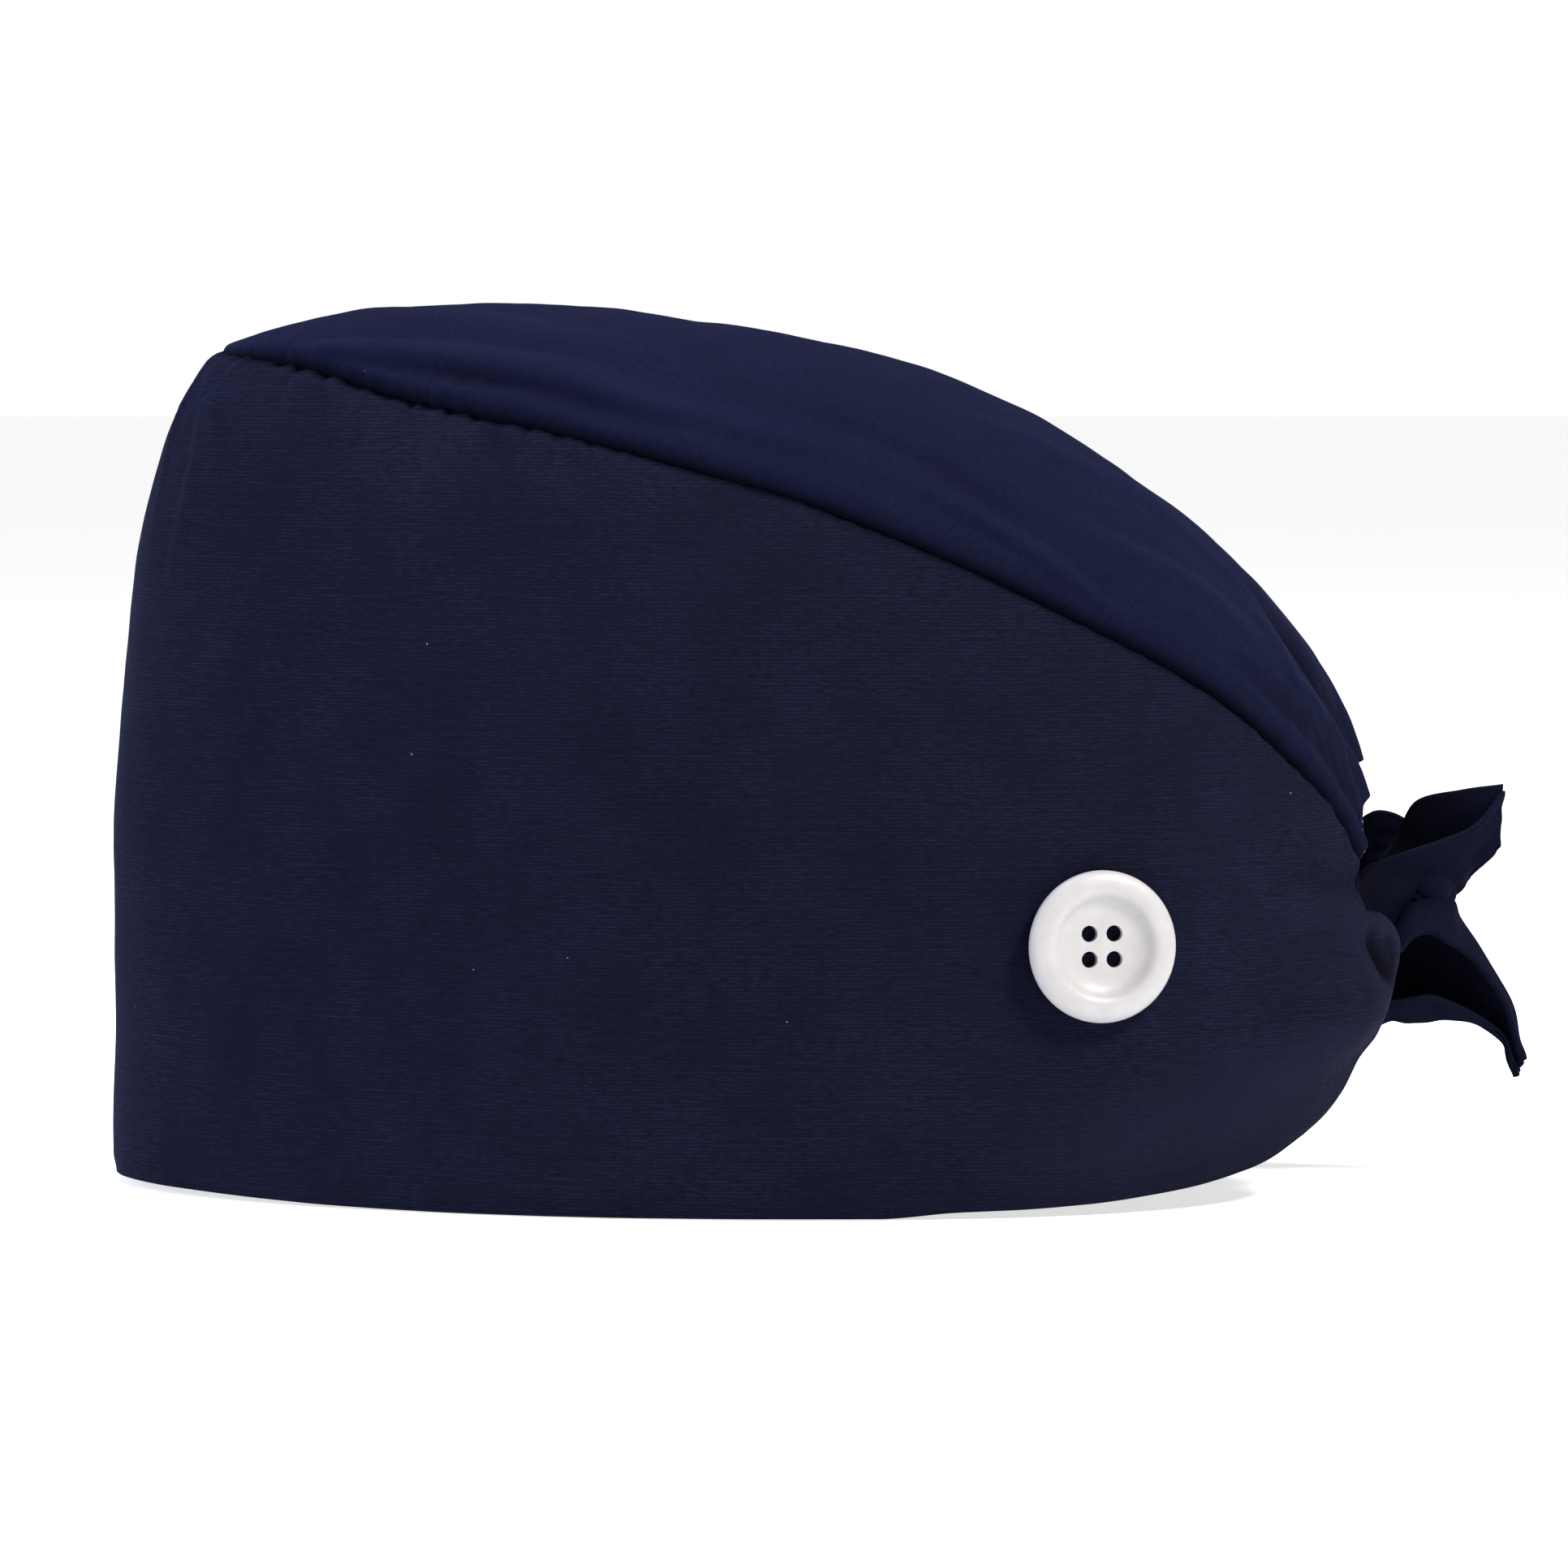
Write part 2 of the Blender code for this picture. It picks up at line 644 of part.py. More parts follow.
def button_profile():
    """Half of the button's section, from the middle of its dished face round its edge to its back."""
    radius = BUTTON_DIAMETER / 2
    return [(share_out * radius, 0, share_up * BUTTON_THICKNESS) for share_out, share_up in BUTTON_SECTION]


def add_button(name, side, holes, collection):
    mesh = bpy.data.meshes.new(name)
    outline = button_profile()
    mesh.from_pydata(outline, [(i, i + 1) for i in range(len(outline) - 1)], [])
    piece = add_object(name, mesh, principled(name + "_plastic", IVORY, 0.35), collection)
    turned = piece.modifiers.new("turned", "SCREW")
    turned.axis = "Z"
    turned.angle = 2 * math.pi
    turned.steps = turned.render_steps = BUTTON_SIDES
    turned.use_merge_vertices = True
    turned.merge_threshold = 0.00001
    cut = piece.modifiers.new("holes", "BOOLEAN")
    cut.operation = "DIFFERENCE"
    cut.object = holes[side]
    piece.matrix_world = button_place(side)


def button_place(side):
    """Where a button's back lies: on the cloth, its face outwards and its holes level."""
    turn, height = side * np.array(BUTTON_TURN), np.array(BUTTON_HEIGHT)
    out = Vector(normals(form, turn, height, 0.2, 0.0004))
    spot = Vector(form(turn, height)) + MIDDLE_TO_ORIGIN + out * BUTTON_GAP
    level = Vector((0, 0, 1)).cross(out).normalized()
    rise = out.cross(level)
    return Matrix.Translation(spot) @ Matrix((level, rise, out)).transposed().to_4x4()


def add_hole_cutter(side, collection):
    drills = bmesh.new()
    half = HOLE_SPACING / 2
    for x in (-half, half):
        for y in (-half, half):
            bmesh.ops.create_cone(
                drills,
                cap_ends=True,
                segments=HOLE_SIDES,
                radius1=HOLE_DIAMETER / 2,
                radius2=HOLE_DIAMETER / 2,
                depth=4 * BUTTON_THICKNESS,
                matrix=Matrix.Translation((x, y, 0)),
            )
    mesh = bpy.data.meshes.new("button_holes")
    drills.to_mesh(mesh)
    drills.free()
    cutter = bpy.data.objects.new("button_holes", mesh)
    collection.objects.link(cutter)
    cutter.matrix_world = button_place(side)
    cutter.hide_render = True
    cutter.display_type = "WIRE"
    return cutter


def add_collection(name):
    collection = bpy.data.collections.new(name)
    bpy.context.scene.collection.children.link(collection)
    return collection


def main():
    for old in list(bpy.data.objects):
        bpy.data.objects.remove(old)
    cap = add_collection("scrub_cap")
    cutters = add_collection("cutters")
    add_band(cap)
    add_crown(cap)
    add_casing(cap)
    add_strap("left_tie", LEFT_TIE, 1, tie_end(UPPER_END_REACH, UPPER_END_RISE), cap)
    add_strap("right_tie", RIGHT_TIE, -1, tie_end(0, 0), cap)
    add_strap("lower_tail", LOWER_TAIL, 1, tie_end(LOWER_END_REACH, -LOWER_END_DROP), cap)
    add_knot(cap)
    holes = {side: add_hole_cutter(side, cutters) for side in (1, -1)}
    add_button("left_button", 1, holes, cap)
    add_button("right_button", -1, holes, cap)


main()
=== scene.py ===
"""Looks of the navy scrub cap: cloth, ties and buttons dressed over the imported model."""

import math
from collections import namedtuple

import bmesh
import bpy
import numpy as np
from mathutils import Matrix, Vector


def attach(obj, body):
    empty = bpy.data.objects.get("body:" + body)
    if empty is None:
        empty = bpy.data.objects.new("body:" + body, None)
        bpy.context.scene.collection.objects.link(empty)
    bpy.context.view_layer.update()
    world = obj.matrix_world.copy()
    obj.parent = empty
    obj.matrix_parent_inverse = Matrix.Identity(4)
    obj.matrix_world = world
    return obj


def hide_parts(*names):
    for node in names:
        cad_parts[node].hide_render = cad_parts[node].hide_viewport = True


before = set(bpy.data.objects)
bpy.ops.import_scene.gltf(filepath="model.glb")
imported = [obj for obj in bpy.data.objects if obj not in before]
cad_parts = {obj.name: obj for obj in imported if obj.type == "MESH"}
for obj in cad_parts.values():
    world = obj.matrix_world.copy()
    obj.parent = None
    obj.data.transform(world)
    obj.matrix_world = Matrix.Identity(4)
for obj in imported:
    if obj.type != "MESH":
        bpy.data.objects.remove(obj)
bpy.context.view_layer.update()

# The cap, in metres, as in the solids. It is worked out from the forehead back.
CAP_DEPTH = 0.2233
CAP_WIDTH = 0.161
CAP_HEIGHT = 0.152
WIDEST_AT = 0.120
FRONT_LEAN = 0.0175
FRONT_SEAM_TURN = 8.0
PANEL_END_TURN = 160.0
LOBE_HEIGHT = 0.0380
LOBE_HALF_HEIGHT = 0.0135
LOBE_PUFF = 0.0022
LOBE_ROLL = 0.0014
LOBE_FROM = 0.86
CASING_WIDTH = 0.0085
CASING_ARCH = 0.86
CASING_END_RISE = 0.003
KNOT = Vector((0, CAP_DEPTH + 0.0057, LOBE_HEIGHT + 0.0115))
KNOT_HALF = Vector((0.0060, 0.0052, 0.0060))
TAIL_REACH = 0.0172
MIDDLE = (KNOT.y + TAIL_REACH) / 2
TO_ORIGIN = Vector((0, MIDDLE, 0))
BUTTON_RADIUS = 0.0127
BUTTON_THICKNESS = 0.0034
BUTTON_TURN = 123.1
BUTTON_HEIGHT = 0.0453

# Cloth
CLOTH = 0.0009
CASING_CLOTH = 0.0018
STRAP_CLOTH = 0.0010
HEM_ROLL = 0.003
HEM_TUCK = 0.0005
FRONT_RIM_LIFT = 0.0015
GROOVE = 0.0011
GROOVE_WIDTH = 0.0024
CROWN_ROLL = 0.0007
CROWN_ROLL_WIDTH = 0.0045
SEAM_WAVE = 0.00028
PUCKER = 0.00042
GATHER = 0.0010
CASING_RUFFLE = 0.0004
FULL_FOLD = 0.0030
# How far from a seam the painted shade in the seam reaches.
SEAM_SHADE = 0.0010
# How far a degree of turn goes along the band and along the seam, and how far the crown goes from front
# to back, for folds and puckers.
BAND_DEGREE = 0.0019
SEAM_DEGREE = 0.0016
CROWN_RUN = 0.20
ALLOWANCE_DEPTHS = (0.0010, 0.0022, 0.0036)

Rim = namedtuple("Rim", "turn height")
RIM = [
    Rim(0, 0.0), Rim(99, 0.0), Rim(108, 0.006), Rim(118, 0.009), Rim(126, 0.014),
    Rim(138, 0.027), Rim(147, 0.044), Rim(152, 0.068), Rim(156, 0.100), Rim(160, 0.180),
]
Seam = namedtuple("Seam", "turn height")
SEAM = [
    Seam(0, 0.951), Seam(8, 0.947), Seam(20, 0.933), Seam(36, 0.897), Seam(59, 0.855),
    Seam(79, 0.812), Seam(91, 0.782), Seam(109, 0.718), Seam(123, 0.655), Seam(138, 0.572),
    Seam(147, 0.502), Seam(155, 0.436), Seam(160, 0.376),
]
Front = namedtuple("Front", "height lean")
FRONT = [
    Front(0.000, 0.00), Front(0.400, 0.03), Front(0.587, 0.12), Front(0.700, 0.23),
    Front(0.810, 0.46), Front(0.866, 0.62), Front(0.922, 0.88), Front(0.949, 1.05),
    Front(1.000, 1.50),
]
Back = namedtuple("Back", "height depth")
BACK = [
    Back(0.000, 0.954), Back(0.066, 0.972), Back(0.132, 0.988), Back(0.245, 1.000),
    Back(0.316, 0.995), Back(0.414, 0.980), Back(0.455, 0.976), Back(0.564, 0.951),
    Back(0.626, 0.925), Back(0.711, 0.875), Back(0.773, 0.824), Back(0.870, 0.722),
    Back(0.952, 0.570),
]
Side = namedtuple("Side", "height width")
SIDE = [
    Side(0.00, 0.985), Side(0.20, 1.000), Side(0.40, 1.000), Side(0.60, 0.975),
    Side(0.78, 0.910), Side(0.90, 0.800), Side(0.95, 0.720),
]
Outline = namedtuple("Outline", "turn squareness")
OUTLINE = [
    Outline(0, 2.10), Outline(22, 1.86), Outline(60, 1.90), Outline(92, 2.10),
    Outline(120, 2.60), Outline(180, 2.60),
]
RIM_SQUARENESS = 2.15
Ridge = namedtuple("Ridge", "along depth height")
RIDGE = [
    Ridge(0.000, 0.0795, 0.951), Ridge(0.036, 0.114, 0.970), Ridge(0.086, 0.165, 0.986),
    Ridge(0.135, 0.215, 0.996), Ridge(0.209, 0.291, 1.000), Ridge(0.284, 0.368, 0.998),
    Ridge(0.382, 0.469, 0.981), Ridge(0.482, 0.570, 0.952), Ridge(0.585, 0.671, 0.907),
    Ridge(0.697, 0.773, 0.824), Ridge(0.821, 0.873, 0.711), Ridge(0.896, 0.923, 0.626),
    Ridge(0.943, 0.949, 0.564), Ridge(1.000, 0.972, 0.484),
]

# How far the band's bunched end reaches at each height, in degrees past its plain end.
Reach = namedtuple("Reach", "height turn")
LOBE_REACH = [
    Reach(0.0215, 0.0), Reach(0.0235, 0.2), Reach(0.0255, 2.6), Reach(0.0290, 6.6), Reach(0.0330, 8.6),
    Reach(0.0375, 9.6), Reach(0.0415, 9.2), Reach(0.0445, 8.0), Reach(0.0466, 6.2), Reach(0.0477, 4.0),
    Reach(0.0484, 0.6), Reach(0.0490, -2.6), Reach(0.0540, -2.2), Reach(0.0558, -1.2),
    Reach(0.0572, 0.0), Reach(0.0660, 0.0),
]

# Folds of the cloth, each along a line of places with its lift there in millimetres and one half-width
# in metres. A valley has lifts under 0, and shade says how strongly its lift is painted into the cloth's
# colour, as painted shade in a hollow and painted highlight on a ridge. One that isn't on both sides of the
# crown has a place across over 0 on the wearer's left, under 0 on the right.
Fold = namedtuple("Fold", "width line shade both", defaults=[1.0, True])
Place = namedtuple("Place", "along across lift")
CROWN_FOLDS = [
    Fold(0.0075, [
        Place(0.07, 0.90, 0.0), Place(0.10, 0.795, 1.0), Place(0.153, 0.72, 1.5), Place(0.197, 0.68, 1.6),
        Place(0.25, 0.685, 1.6), Place(0.297, 0.695, 1.5), Place(0.333, 0.735, 1.4),
        Place(0.39, 0.785, 1.2), Place(0.457, 0.775, 0.8), Place(0.56, 0.75, 0.0),
    ]),
    Fold(0.0055, [
        Place(0.09, 0.93, 0.0), Place(0.137, 0.84, -0.9), Place(0.217, 0.815, -1.2),
        Place(0.283, 0.815, -1.1), Place(0.337, 0.85, -0.8), Place(0.42, 0.90, 0.0),
    ]),
    Fold(0.0090, [
        Place(0.07, 0.10, 0.0), Place(0.127, 0.16, 0.7), Place(0.213, 0.365, 1.1), Place(0.29, 0.47, 0.9),
        Place(0.40, 0.56, 0.0),
    ]),
    Fold(0.0060, [
        Place(0.42, 0.62, 0.0), Place(0.52, 0.64, -0.7), Place(0.62, 0.70, -0.8), Place(0.72, 0.76, 0.0),
    ]),
    Fold(0.0055, [
        Place(0.57, 0.78, 0.0), Place(0.67, 0.81, 1.0), Place(0.717, 0.84, 1.2), Place(0.767, 0.91, 0.4),
        Place(0.80, 0.95, 0.0),
    ]),
    Fold(0.0060, [
        Place(0.67, 0.66, 0.0), Place(0.763, 0.60, 1.2), Place(0.813, 0.565, 1.2), Place(0.88, 0.60, 0.0),
    ]),
    Fold(0.0080, [
        Place(0.57, 0.42, 0.0), Place(0.66, 0.335, 1.1), Place(0.737, 0.255, 1.3),
        Place(0.82, 0.305, 1.1), Place(0.90, 0.36, 0.0),
    ]),
    Fold(0.0044, [
        Place(0.83, 0.40, 0.0), Place(0.867, 0.47, 0.7), Place(0.897, 0.57, 0.9), Place(0.94, 0.56, 0.9),
        Place(0.973, 0.51, 0.8), Place(1.02, 0.48, 0.6),
    ], 1.0, False),
    # The recess at the crown's back: a real valley, with painted shade in it.
    Fold(0.0100, [
        Place(0.79, 0.14, 0.0), Place(0.84, 0.23, -1.5), Place(0.89, 0.33, -2.7), Place(0.94, 0.34, -3.0),
        Place(0.97, 0.31, -2.4), Place(1.02, 0.28, -1.0),
    ], 1.05, False),
    Fold(0.0050, [
        Place(0.80, -0.36, 0.0), Place(0.87, -0.43, 0.9), Place(0.94, -0.46, 1.1), Place(1.02, -0.42, 0.7),
    ], 1.0, False),
    Fold(0.0052, [
        Place(0.84, -0.26, 0.0), Place(0.90, -0.33, -1.1), Place(0.96, -0.34, -1.5),
        Place(1.02, -0.31, -1.0),
    ], 0.8, False),
    Fold(0.0060, [
        Place(0.84, 0.82, 0.0), Place(0.90, 0.79, -0.9), Place(0.96, 0.74, -1.2), Place(1.02, 0.70, -1.0),
    ]),
]
Crease = namedtuple("Crease", "turn height lift")
BAND_FOLDS = [
    Fold(0.0026, [
        Crease(5.5, 0.1440, 0.3), Crease(11, 0.1347, 1.0), Crease(13, 0.1261, 0.9),
        Crease(13.5, 0.1150, 0.5), Crease(13.5, 0.100, 0.0),
    ]),
    Fold(0.0022, [
        Crease(3.5, 0.1435, 0.2), Crease(5, 0.1340, 0.7), Crease(7, 0.1240, 0.5), Crease(9, 0.112, 0.0),
    ]),
    Fold(0.0020, [
        Crease(8, 0.1430, 0.0), Crease(10, 0.1375, -0.5), Crease(16, 0.1290, -0.4), Crease(18, 0.118, 0.0),
    ]),
    Fold(0.0032, [
        Crease(22.5, 0.1405, -0.1), Crease(25, 0.1360, -0.6), Crease(28, 0.1300, -0.3),
        Crease(30, 0.124, 0.0),
    ]),
    Fold(0.0030, [Crease(46, 0.1340, -0.2), Crease(49, 0.1290, -0.6), Crease(53, 0.1215, 0.0)]),
    Fold(0.0030, [Crease(56, 0.1300, -0.1), Crease(60, 0.1250, -0.5), Crease(63, 0.1180, 0.0)]),
    Fold(0.0026, [Crease(36, 0.1370, -0.1), Crease(38, 0.1325, -0.4), Crease(40, 0.1270, 0.0)]),
    Fold(0.0050, [
        Crease(136, 0.0500, 0.0), Crease(145, 0.0500, 0.6), Crease(152, 0.0487, 0.9),
        Crease(160, 0.0465, 0.9), Crease(166, 0.0450, 0.3),
    ]),
    Fold(0.0042, [
        Crease(141, 0.0560, 0.0), Crease(149, 0.0555, -0.6), Crease(156, 0.0540, -1.1),
        Crease(162, 0.0530, -1.0),
    ]),
    Fold(0.0030, [
        Crease(149, 0.0462, 0.0), Crease(152.6, 0.0440, 0.8), Crease(153.8, 0.0400, 1.3),
        Crease(156.6, 0.0358, 1.3), Crease(160, 0.0345, 0.8), Crease(163, 0.0340, 0.0),
    ]),
    # The lobe's dimple: a real dent, with strong painted shade in it.
    Fold(0.0027, [
        Crease(155.4, 0.0462, 0.0), Crease(156.8, 0.0432, -1.5), Crease(158.4, 0.0404, -2.5),
        Crease(160.0, 0.0388, -2.6), Crease(161.8, 0.0378, -1.4), Crease(163.6, 0.0372, 0.0),
    ], 2.4),
    # A shallow dent that is there mostly to carry painted shade onto the dimple's far wall.
    Fold(0.0026, [
        Crease(158.6, 0.0446, 0.0), Crease(160.8, 0.0424, -0.4), Crease(162.4, 0.0402, -0.4),
        Crease(163.8, 0.0384, 0.0),
    ], 13.0),
    Fold(0.0042, [
        Crease(157, 0.0475, 0.0), Crease(161, 0.0455, 0.9), Crease(164.5, 0.0425, 1.2),
        Crease(166.5, 0.0400, 0.8),
    ]),
    Fold(0.0060, [
        Crease(134, 0.0200, 0.0), Crease(145, 0.0240, 0.6), Crease(154, 0.0275, 0.7),
        Crease(162, 0.0305, 0.4),
    ]),
    Fold(0.0170, [
        Crease(108, 0.0060, 0.0), Crease(124, 0.0090, 1.6), Crease(138, 0.0140, 2.3),
        Crease(150, 0.0210, 2.1), Crease(160, 0.0250, 0.0),
    ]),
    Fold(0.0050, [
        Crease(136, 0.0330, 0.0), Crease(144, 0.0325, -0.5), Crease(151, 0.0330, -0.6),
        Crease(156, 0.0335, 0.0),
    ]),
]

# Lines along each strap, in millimetres from the knot's middle, from where it leaves the lobe or the
# knot to its end. Each strap is one cloth, folded along its middle lines.
Spot = namedtuple("Spot", "aside back rise")
LEFT_TIE = {
    "far edge": [
        Spot(21, -17, -3), Spot(12, -13, 2.5), Spot(4, -9, 5.5), Spot(0, -5.5, 9.8),
        Spot(1.5, -2.0, 16.1), Spot(1.5, 6.0, 18.1), Spot(-0.2, 13.2, 19.1),
    ],
    "fold": [
        Spot(23, -16, -20), Spot(13, -11, -14), Spot(6, -6.5, -9.0), Spot(-0.5, -0.5, -4.5),
        Spot(-2.5, 4.5, -0.8), Spot(-1.5, 7.2, 2.6), Spot(0.3, 12.6, 8.3),
    ],
    "near edge": [
        Spot(23, -16, -2.5), Spot(14, -12, 4.5), Spot(9.5, -8.5, 6.3), Spot(8.5, -4, 7.6),
        Spot(7.5, 2.1, 9.4), Spot(5.0, 8.2, 12.2), Spot(0.9, 13.1, 18.0),
    ],
}
RIGHT_TIE = {
    "top edge": [
        Spot(-26, -16, -3.5), Spot(-17, -12, 7.5), Spot(-11, -9.5, 13.4), Spot(-9, -4.0, 13.0),
        Spot(-6.5, 0.5, 8.0),
    ],
    "middle": [
        Spot(-27, -17, -11), Spot(-19, -12.5, 0.0), Spot(-12.5, -9.8, 6.5), Spot(-9.5, -5.0, 6.5),
        Spot(-6, 0, 2.5),
    ],
    "bottom edge": [
        Spot(-26, -16, -19.5), Spot(-17, -11, -7.5), Spot(-10, -9, 0.5), Spot(-7, -5.0, -0.5),
        Spot(-4, 0, -3.5),
    ],
}
LOWER_TAIL = {
    "lip": [
        Spot(12, -5.5, -9.5), Spot(11, -3.0, -6.9), Spot(9.5, 0.0, -6.3), Spot(8.5, 3.0, -7.9),
        Spot(6.5, 5.5, -9.4), Spot(4.5, 8.8, -12.4), Spot(3.0, 13.2, -18.8), Spot(1.5, 15.2, -24.5),
        Spot(0.6, 16.5, -29.8),
    ],
    "ridge": [
        Spot(9, -6.5, -7.3), Spot(7, -3.9, -2.6), Spot(5, -0.5, -0.9), Spot(2, 4.0, -0.9),
        Spot(0, 5.6, -4.2), Spot(0, 9.4, -10.2), Spot(0, 14.2, -18.3), Spot(0, 15.9, -25.0),
        Spot(0, 17.1, -29.0),
    ],
    "hollow": [
        Spot(0, -7.5, -11), Spot(-3, -5, -11), Spot(-5, -2, -12), Spot(-6, 1, -13), Spot(-6, 4, -14.5),
        Spot(-5, 7.5, -17), Spot(-3, 12.0, -21.5), Spot(-1.5, 14.6, -26.5), Spot(-0.3, 16.4, -30.6),
    ],
    "lower fold": [
        Spot(4, -9.5, -23.0), Spot(3, -6.5, -21.8), Spot(2, -3.3, -22.2), Spot(1, 0, -22.0),
        Spot(0, 3.6, -21.6), Spot(0, 8.2, -22.3), Spot(-1, 13.4, -25.4), Spot(-0.8, 14.6, -28.6),
        Spot(-0.2, 15.8, -32.1),
    ],
    "near flap": [
        Spot(4.5, -9.0, -19.0), Spot(4.5, -6.5, -18.8), Spot(4.2, -3.0, -18.0), Spot(3.6, 0.5, -17.5),
        Spot(2.8, 4.0, -18.8), Spot(1.6, 8.0, -21.2), Spot(0.4, 13.2, -24.9), Spot(0.2, 14.6, -28.2),
        Spot(0.2, 15.9, -31.6),
    ],
}

# Places deep in a strap's folds that get painted shade, in shares of its length and width; depth is how
# dark the painted shade is.
PaintedShade = namedtuple("PaintedShade", "run run_half side side_half depth")
LEFT_TIE_PAINTED_SHADE = [PaintedShade(0.10, 0.56, 0.50, 2.20, 1.0), PaintedShade(0.62, 0.50, 0.00, 0.44, 1.0)]
LOWER_TAIL_PAINTED_SHADE = [PaintedShade(0.20, 0.62, 0.50, 0.42, 1.0)]
RIGHT_TIE_PAINTED_SHADE = [PaintedShade(0.30, 0.60, 0.60, 0.60, 0.6)]


# Curves and forms

def monotone(places, values, at):
    """A smooth curve through the values that doesn't swing past them."""
    places = np.asarray(places, float)
    values = np.asarray(values, float)
    at = np.clip(np.asarray(at, float), places[0], places[-1])
    step = np.diff(places)
    slope = np.diff(values) / step
    bend = np.zeros(len(places))
    bend[0], bend[-1] = slope[0], slope[-1]
    for i in range(1, len(places) - 1):
        if slope[i - 1] * slope[i] > 0:
            before = 2 * step[i] + step[i - 1]
            after = step[i] + 2 * step[i - 1]
            bend[i] = (before + after) / (before / slope[i - 1] + after / slope[i])
    k = np.clip(np.searchsorted(places, at, side="right") - 1, 0, len(places) - 2)
    s = (at - places[k]) / step[k]
    start = values[k] * (1 + 2 * s) * (1 - s) ** 2 + bend[k] * step[k] * s * (1 - s) ** 2
    end = values[k + 1] * s * s * (3 - 2 * s) + bend[k + 1] * step[k] * s * s * (s - 1)
    return start + end


def read(table, name, at):
    """A named column of a table at these places of its first column."""
    return monotone([row[0] for row in table], [getattr(row, name) for row in table], at)


def ease(share):
    share = np.clip(share, 0, 1)
    return share * share * (3 - 2 * share)


def hill(share):
    """A soft bump: 1 at 0, and 0 from 1 on."""
    return np.where(np.abs(share) < 1, 0.5 + 0.5 * np.cos(math.pi * np.clip(share, -1, 1)), 0.0)


def bump(share):
    return np.clip(1 - np.square(share), 0, 1)


def ripple(at, pitch, seed):
    """Uneven waves along a line, from -1 to 1."""
    drift = 0.9 * np.sin(at / pitch * 0.83 + 2.1 * seed) + 0.6 * np.sin(at / pitch * 0.37 + seed)
    wave = np.sin(2 * math.pi * at / pitch + 1.9 * drift)
    strength = 0.62 + 0.38 * np.sin(at / pitch * 0.61 + 3.7 * seed)
    return wave * strength


def swell(points, size, seed):
    """Slow unevenness of stretched cloth, from about -1 to 1."""
    x, y, z = (points[..., i] / size for i in range(3))
    one = np.sin(1.7 * x + 2.3 * y + seed) * np.sin(2.9 * z + 1.1 * x + 2 * seed)
    two = np.sin(4.1 * y - 2.2 * z + 3 * seed) * np.sin(3.3 * x + 1.3 * z + seed)
    three = np.sin(7.3 * z + 2.7 * y + seed) * np.sin(6.1 * y - 3.9 * x + 5 * seed)
    return 0.5 * one + 0.32 * two + 0.18 * three


def seam_height(turn):
    return CAP_HEIGHT * read(SEAM, "height", turn)


def rim_height(turn):
    lift = FRONT_RIM_LIFT * (1 - ease(turn / 48))
    return CAP_HEIGHT * read(RIM, "height", turn) + lift


def form(turn, height):
    """Points on the head form. A negative turn is on the wearer's right."""
    side = np.sign(turn)
    turn = np.abs(turn)
    angle = np.radians(turn)
    share = height / CAP_HEIGHT
    front = FRONT_LEAN * read(FRONT, "lean", share)
    back = CAP_DEPTH * read(BACK, "depth", share)
    reach = np.where(turn < 90, WIDEST_AT - front, back - WIDEST_AT)
    half = CAP_WIDTH / 2 * read(SIDE, "width", share)
    square = read(OUTLINE, "squareness", turn)
    low = (1 - ease(share / 0.26)) * ease((turn - 92) / 30)
    square = square + (RIM_SQUARENESS - square) * low
    across = (np.abs(np.sin(angle)) / half) ** square
    along = (np.abs(np.cos(angle)) / reach) ** square
    radius = (across + along) ** (-1 / square)
    x = side * radius * np.sin(angle)
    y = WIDEST_AT - radius * np.cos(angle)
    return np.stack(np.broadcast_arrays(x, y, height), axis=-1)


def unit(vectors):
    return vectors / np.linalg.norm(vectors, axis=-1, keepdims=True)


def form_normals(turn, height):
    along = form(turn + 0.2, height) - form(turn - 0.2, height)
    up = form(turn, height + 0.0004) - form(turn, height - 0.0004)
    return unit(np.cross(along, up))


def lobe_turn(height):
    return read(LOBE_REACH, "turn", height)


def lobe_relief(end_share, height):
    """The bunched end: puffed, and rolled in at its edge."""
    upright = bump((height - LOBE_HEIGHT) / LOBE_HALF_HEIGHT)
    puff = LOBE_PUFF * ease(end_share) * upright
    roll = (LOBE_PUFF + LOBE_ROLL) * np.clip(2.5 * end_share - 1.5, 0, 1) ** 2 * upright
    return puff - roll


def fold_relief(along, up, width, line):
    """The relief of one fold, along a line of points with their lifts in millimetres."""
    line = np.asarray(line, float)
    nearest = np.full(np.broadcast(along, up).shape, 1.0)
    lift = np.zeros_like(nearest)
    for (a, b, lift_a), (c, d, lift_c) in zip(line[:-1], line[1:]):
        run = (c - a) ** 2 + (d - b) ** 2
        share = np.clip(((along - a) * (c - a) + (up - b) * (d - b)) / run, 0, 1)
        away = np.hypot(along - a - share * (c - a), up - b - share * (d - b))
        closer = away < nearest
        nearest = np.where(closer, away, nearest)
        lift = np.where(closer, lift_a + share * (lift_c - lift_a), lift)
    return 0.001 * lift * hill(nearest / width)


def shade_of(folds, seam_gap):
    """Painted shade and highlight for the cloth's colour: from -1, painted shade in a seam or the bottom
    of a hollow, to 1, painted highlight on the back of a ridge.
    """
    in_seam = 0.9 * np.exp(-((seam_gap / SEAM_SHADE) ** 2))
    return np.clip(folds / FULL_FOLD, -1, 1) * (1 - in_seam) - in_seam


def seam_wave(turn):
    """How the gathered stitching makes the seam rise and fall, the same for both pieces."""
    place = turn * SEAM_DEGREE
    return SEAM_WAVE * (ripple(place, 0.0043, 1.2) + 0.7 * ripple(place, 0.0027, 3.4)) * seam_gather(turn)


def seam_gather(turn):
    """The seam is gathered most beside the forehead."""
    turn = np.abs(turn)
    return 0.28 + 0.95 * hill((turn - 36) / 40) + 0.5 * hill((turn - 150) / 16)


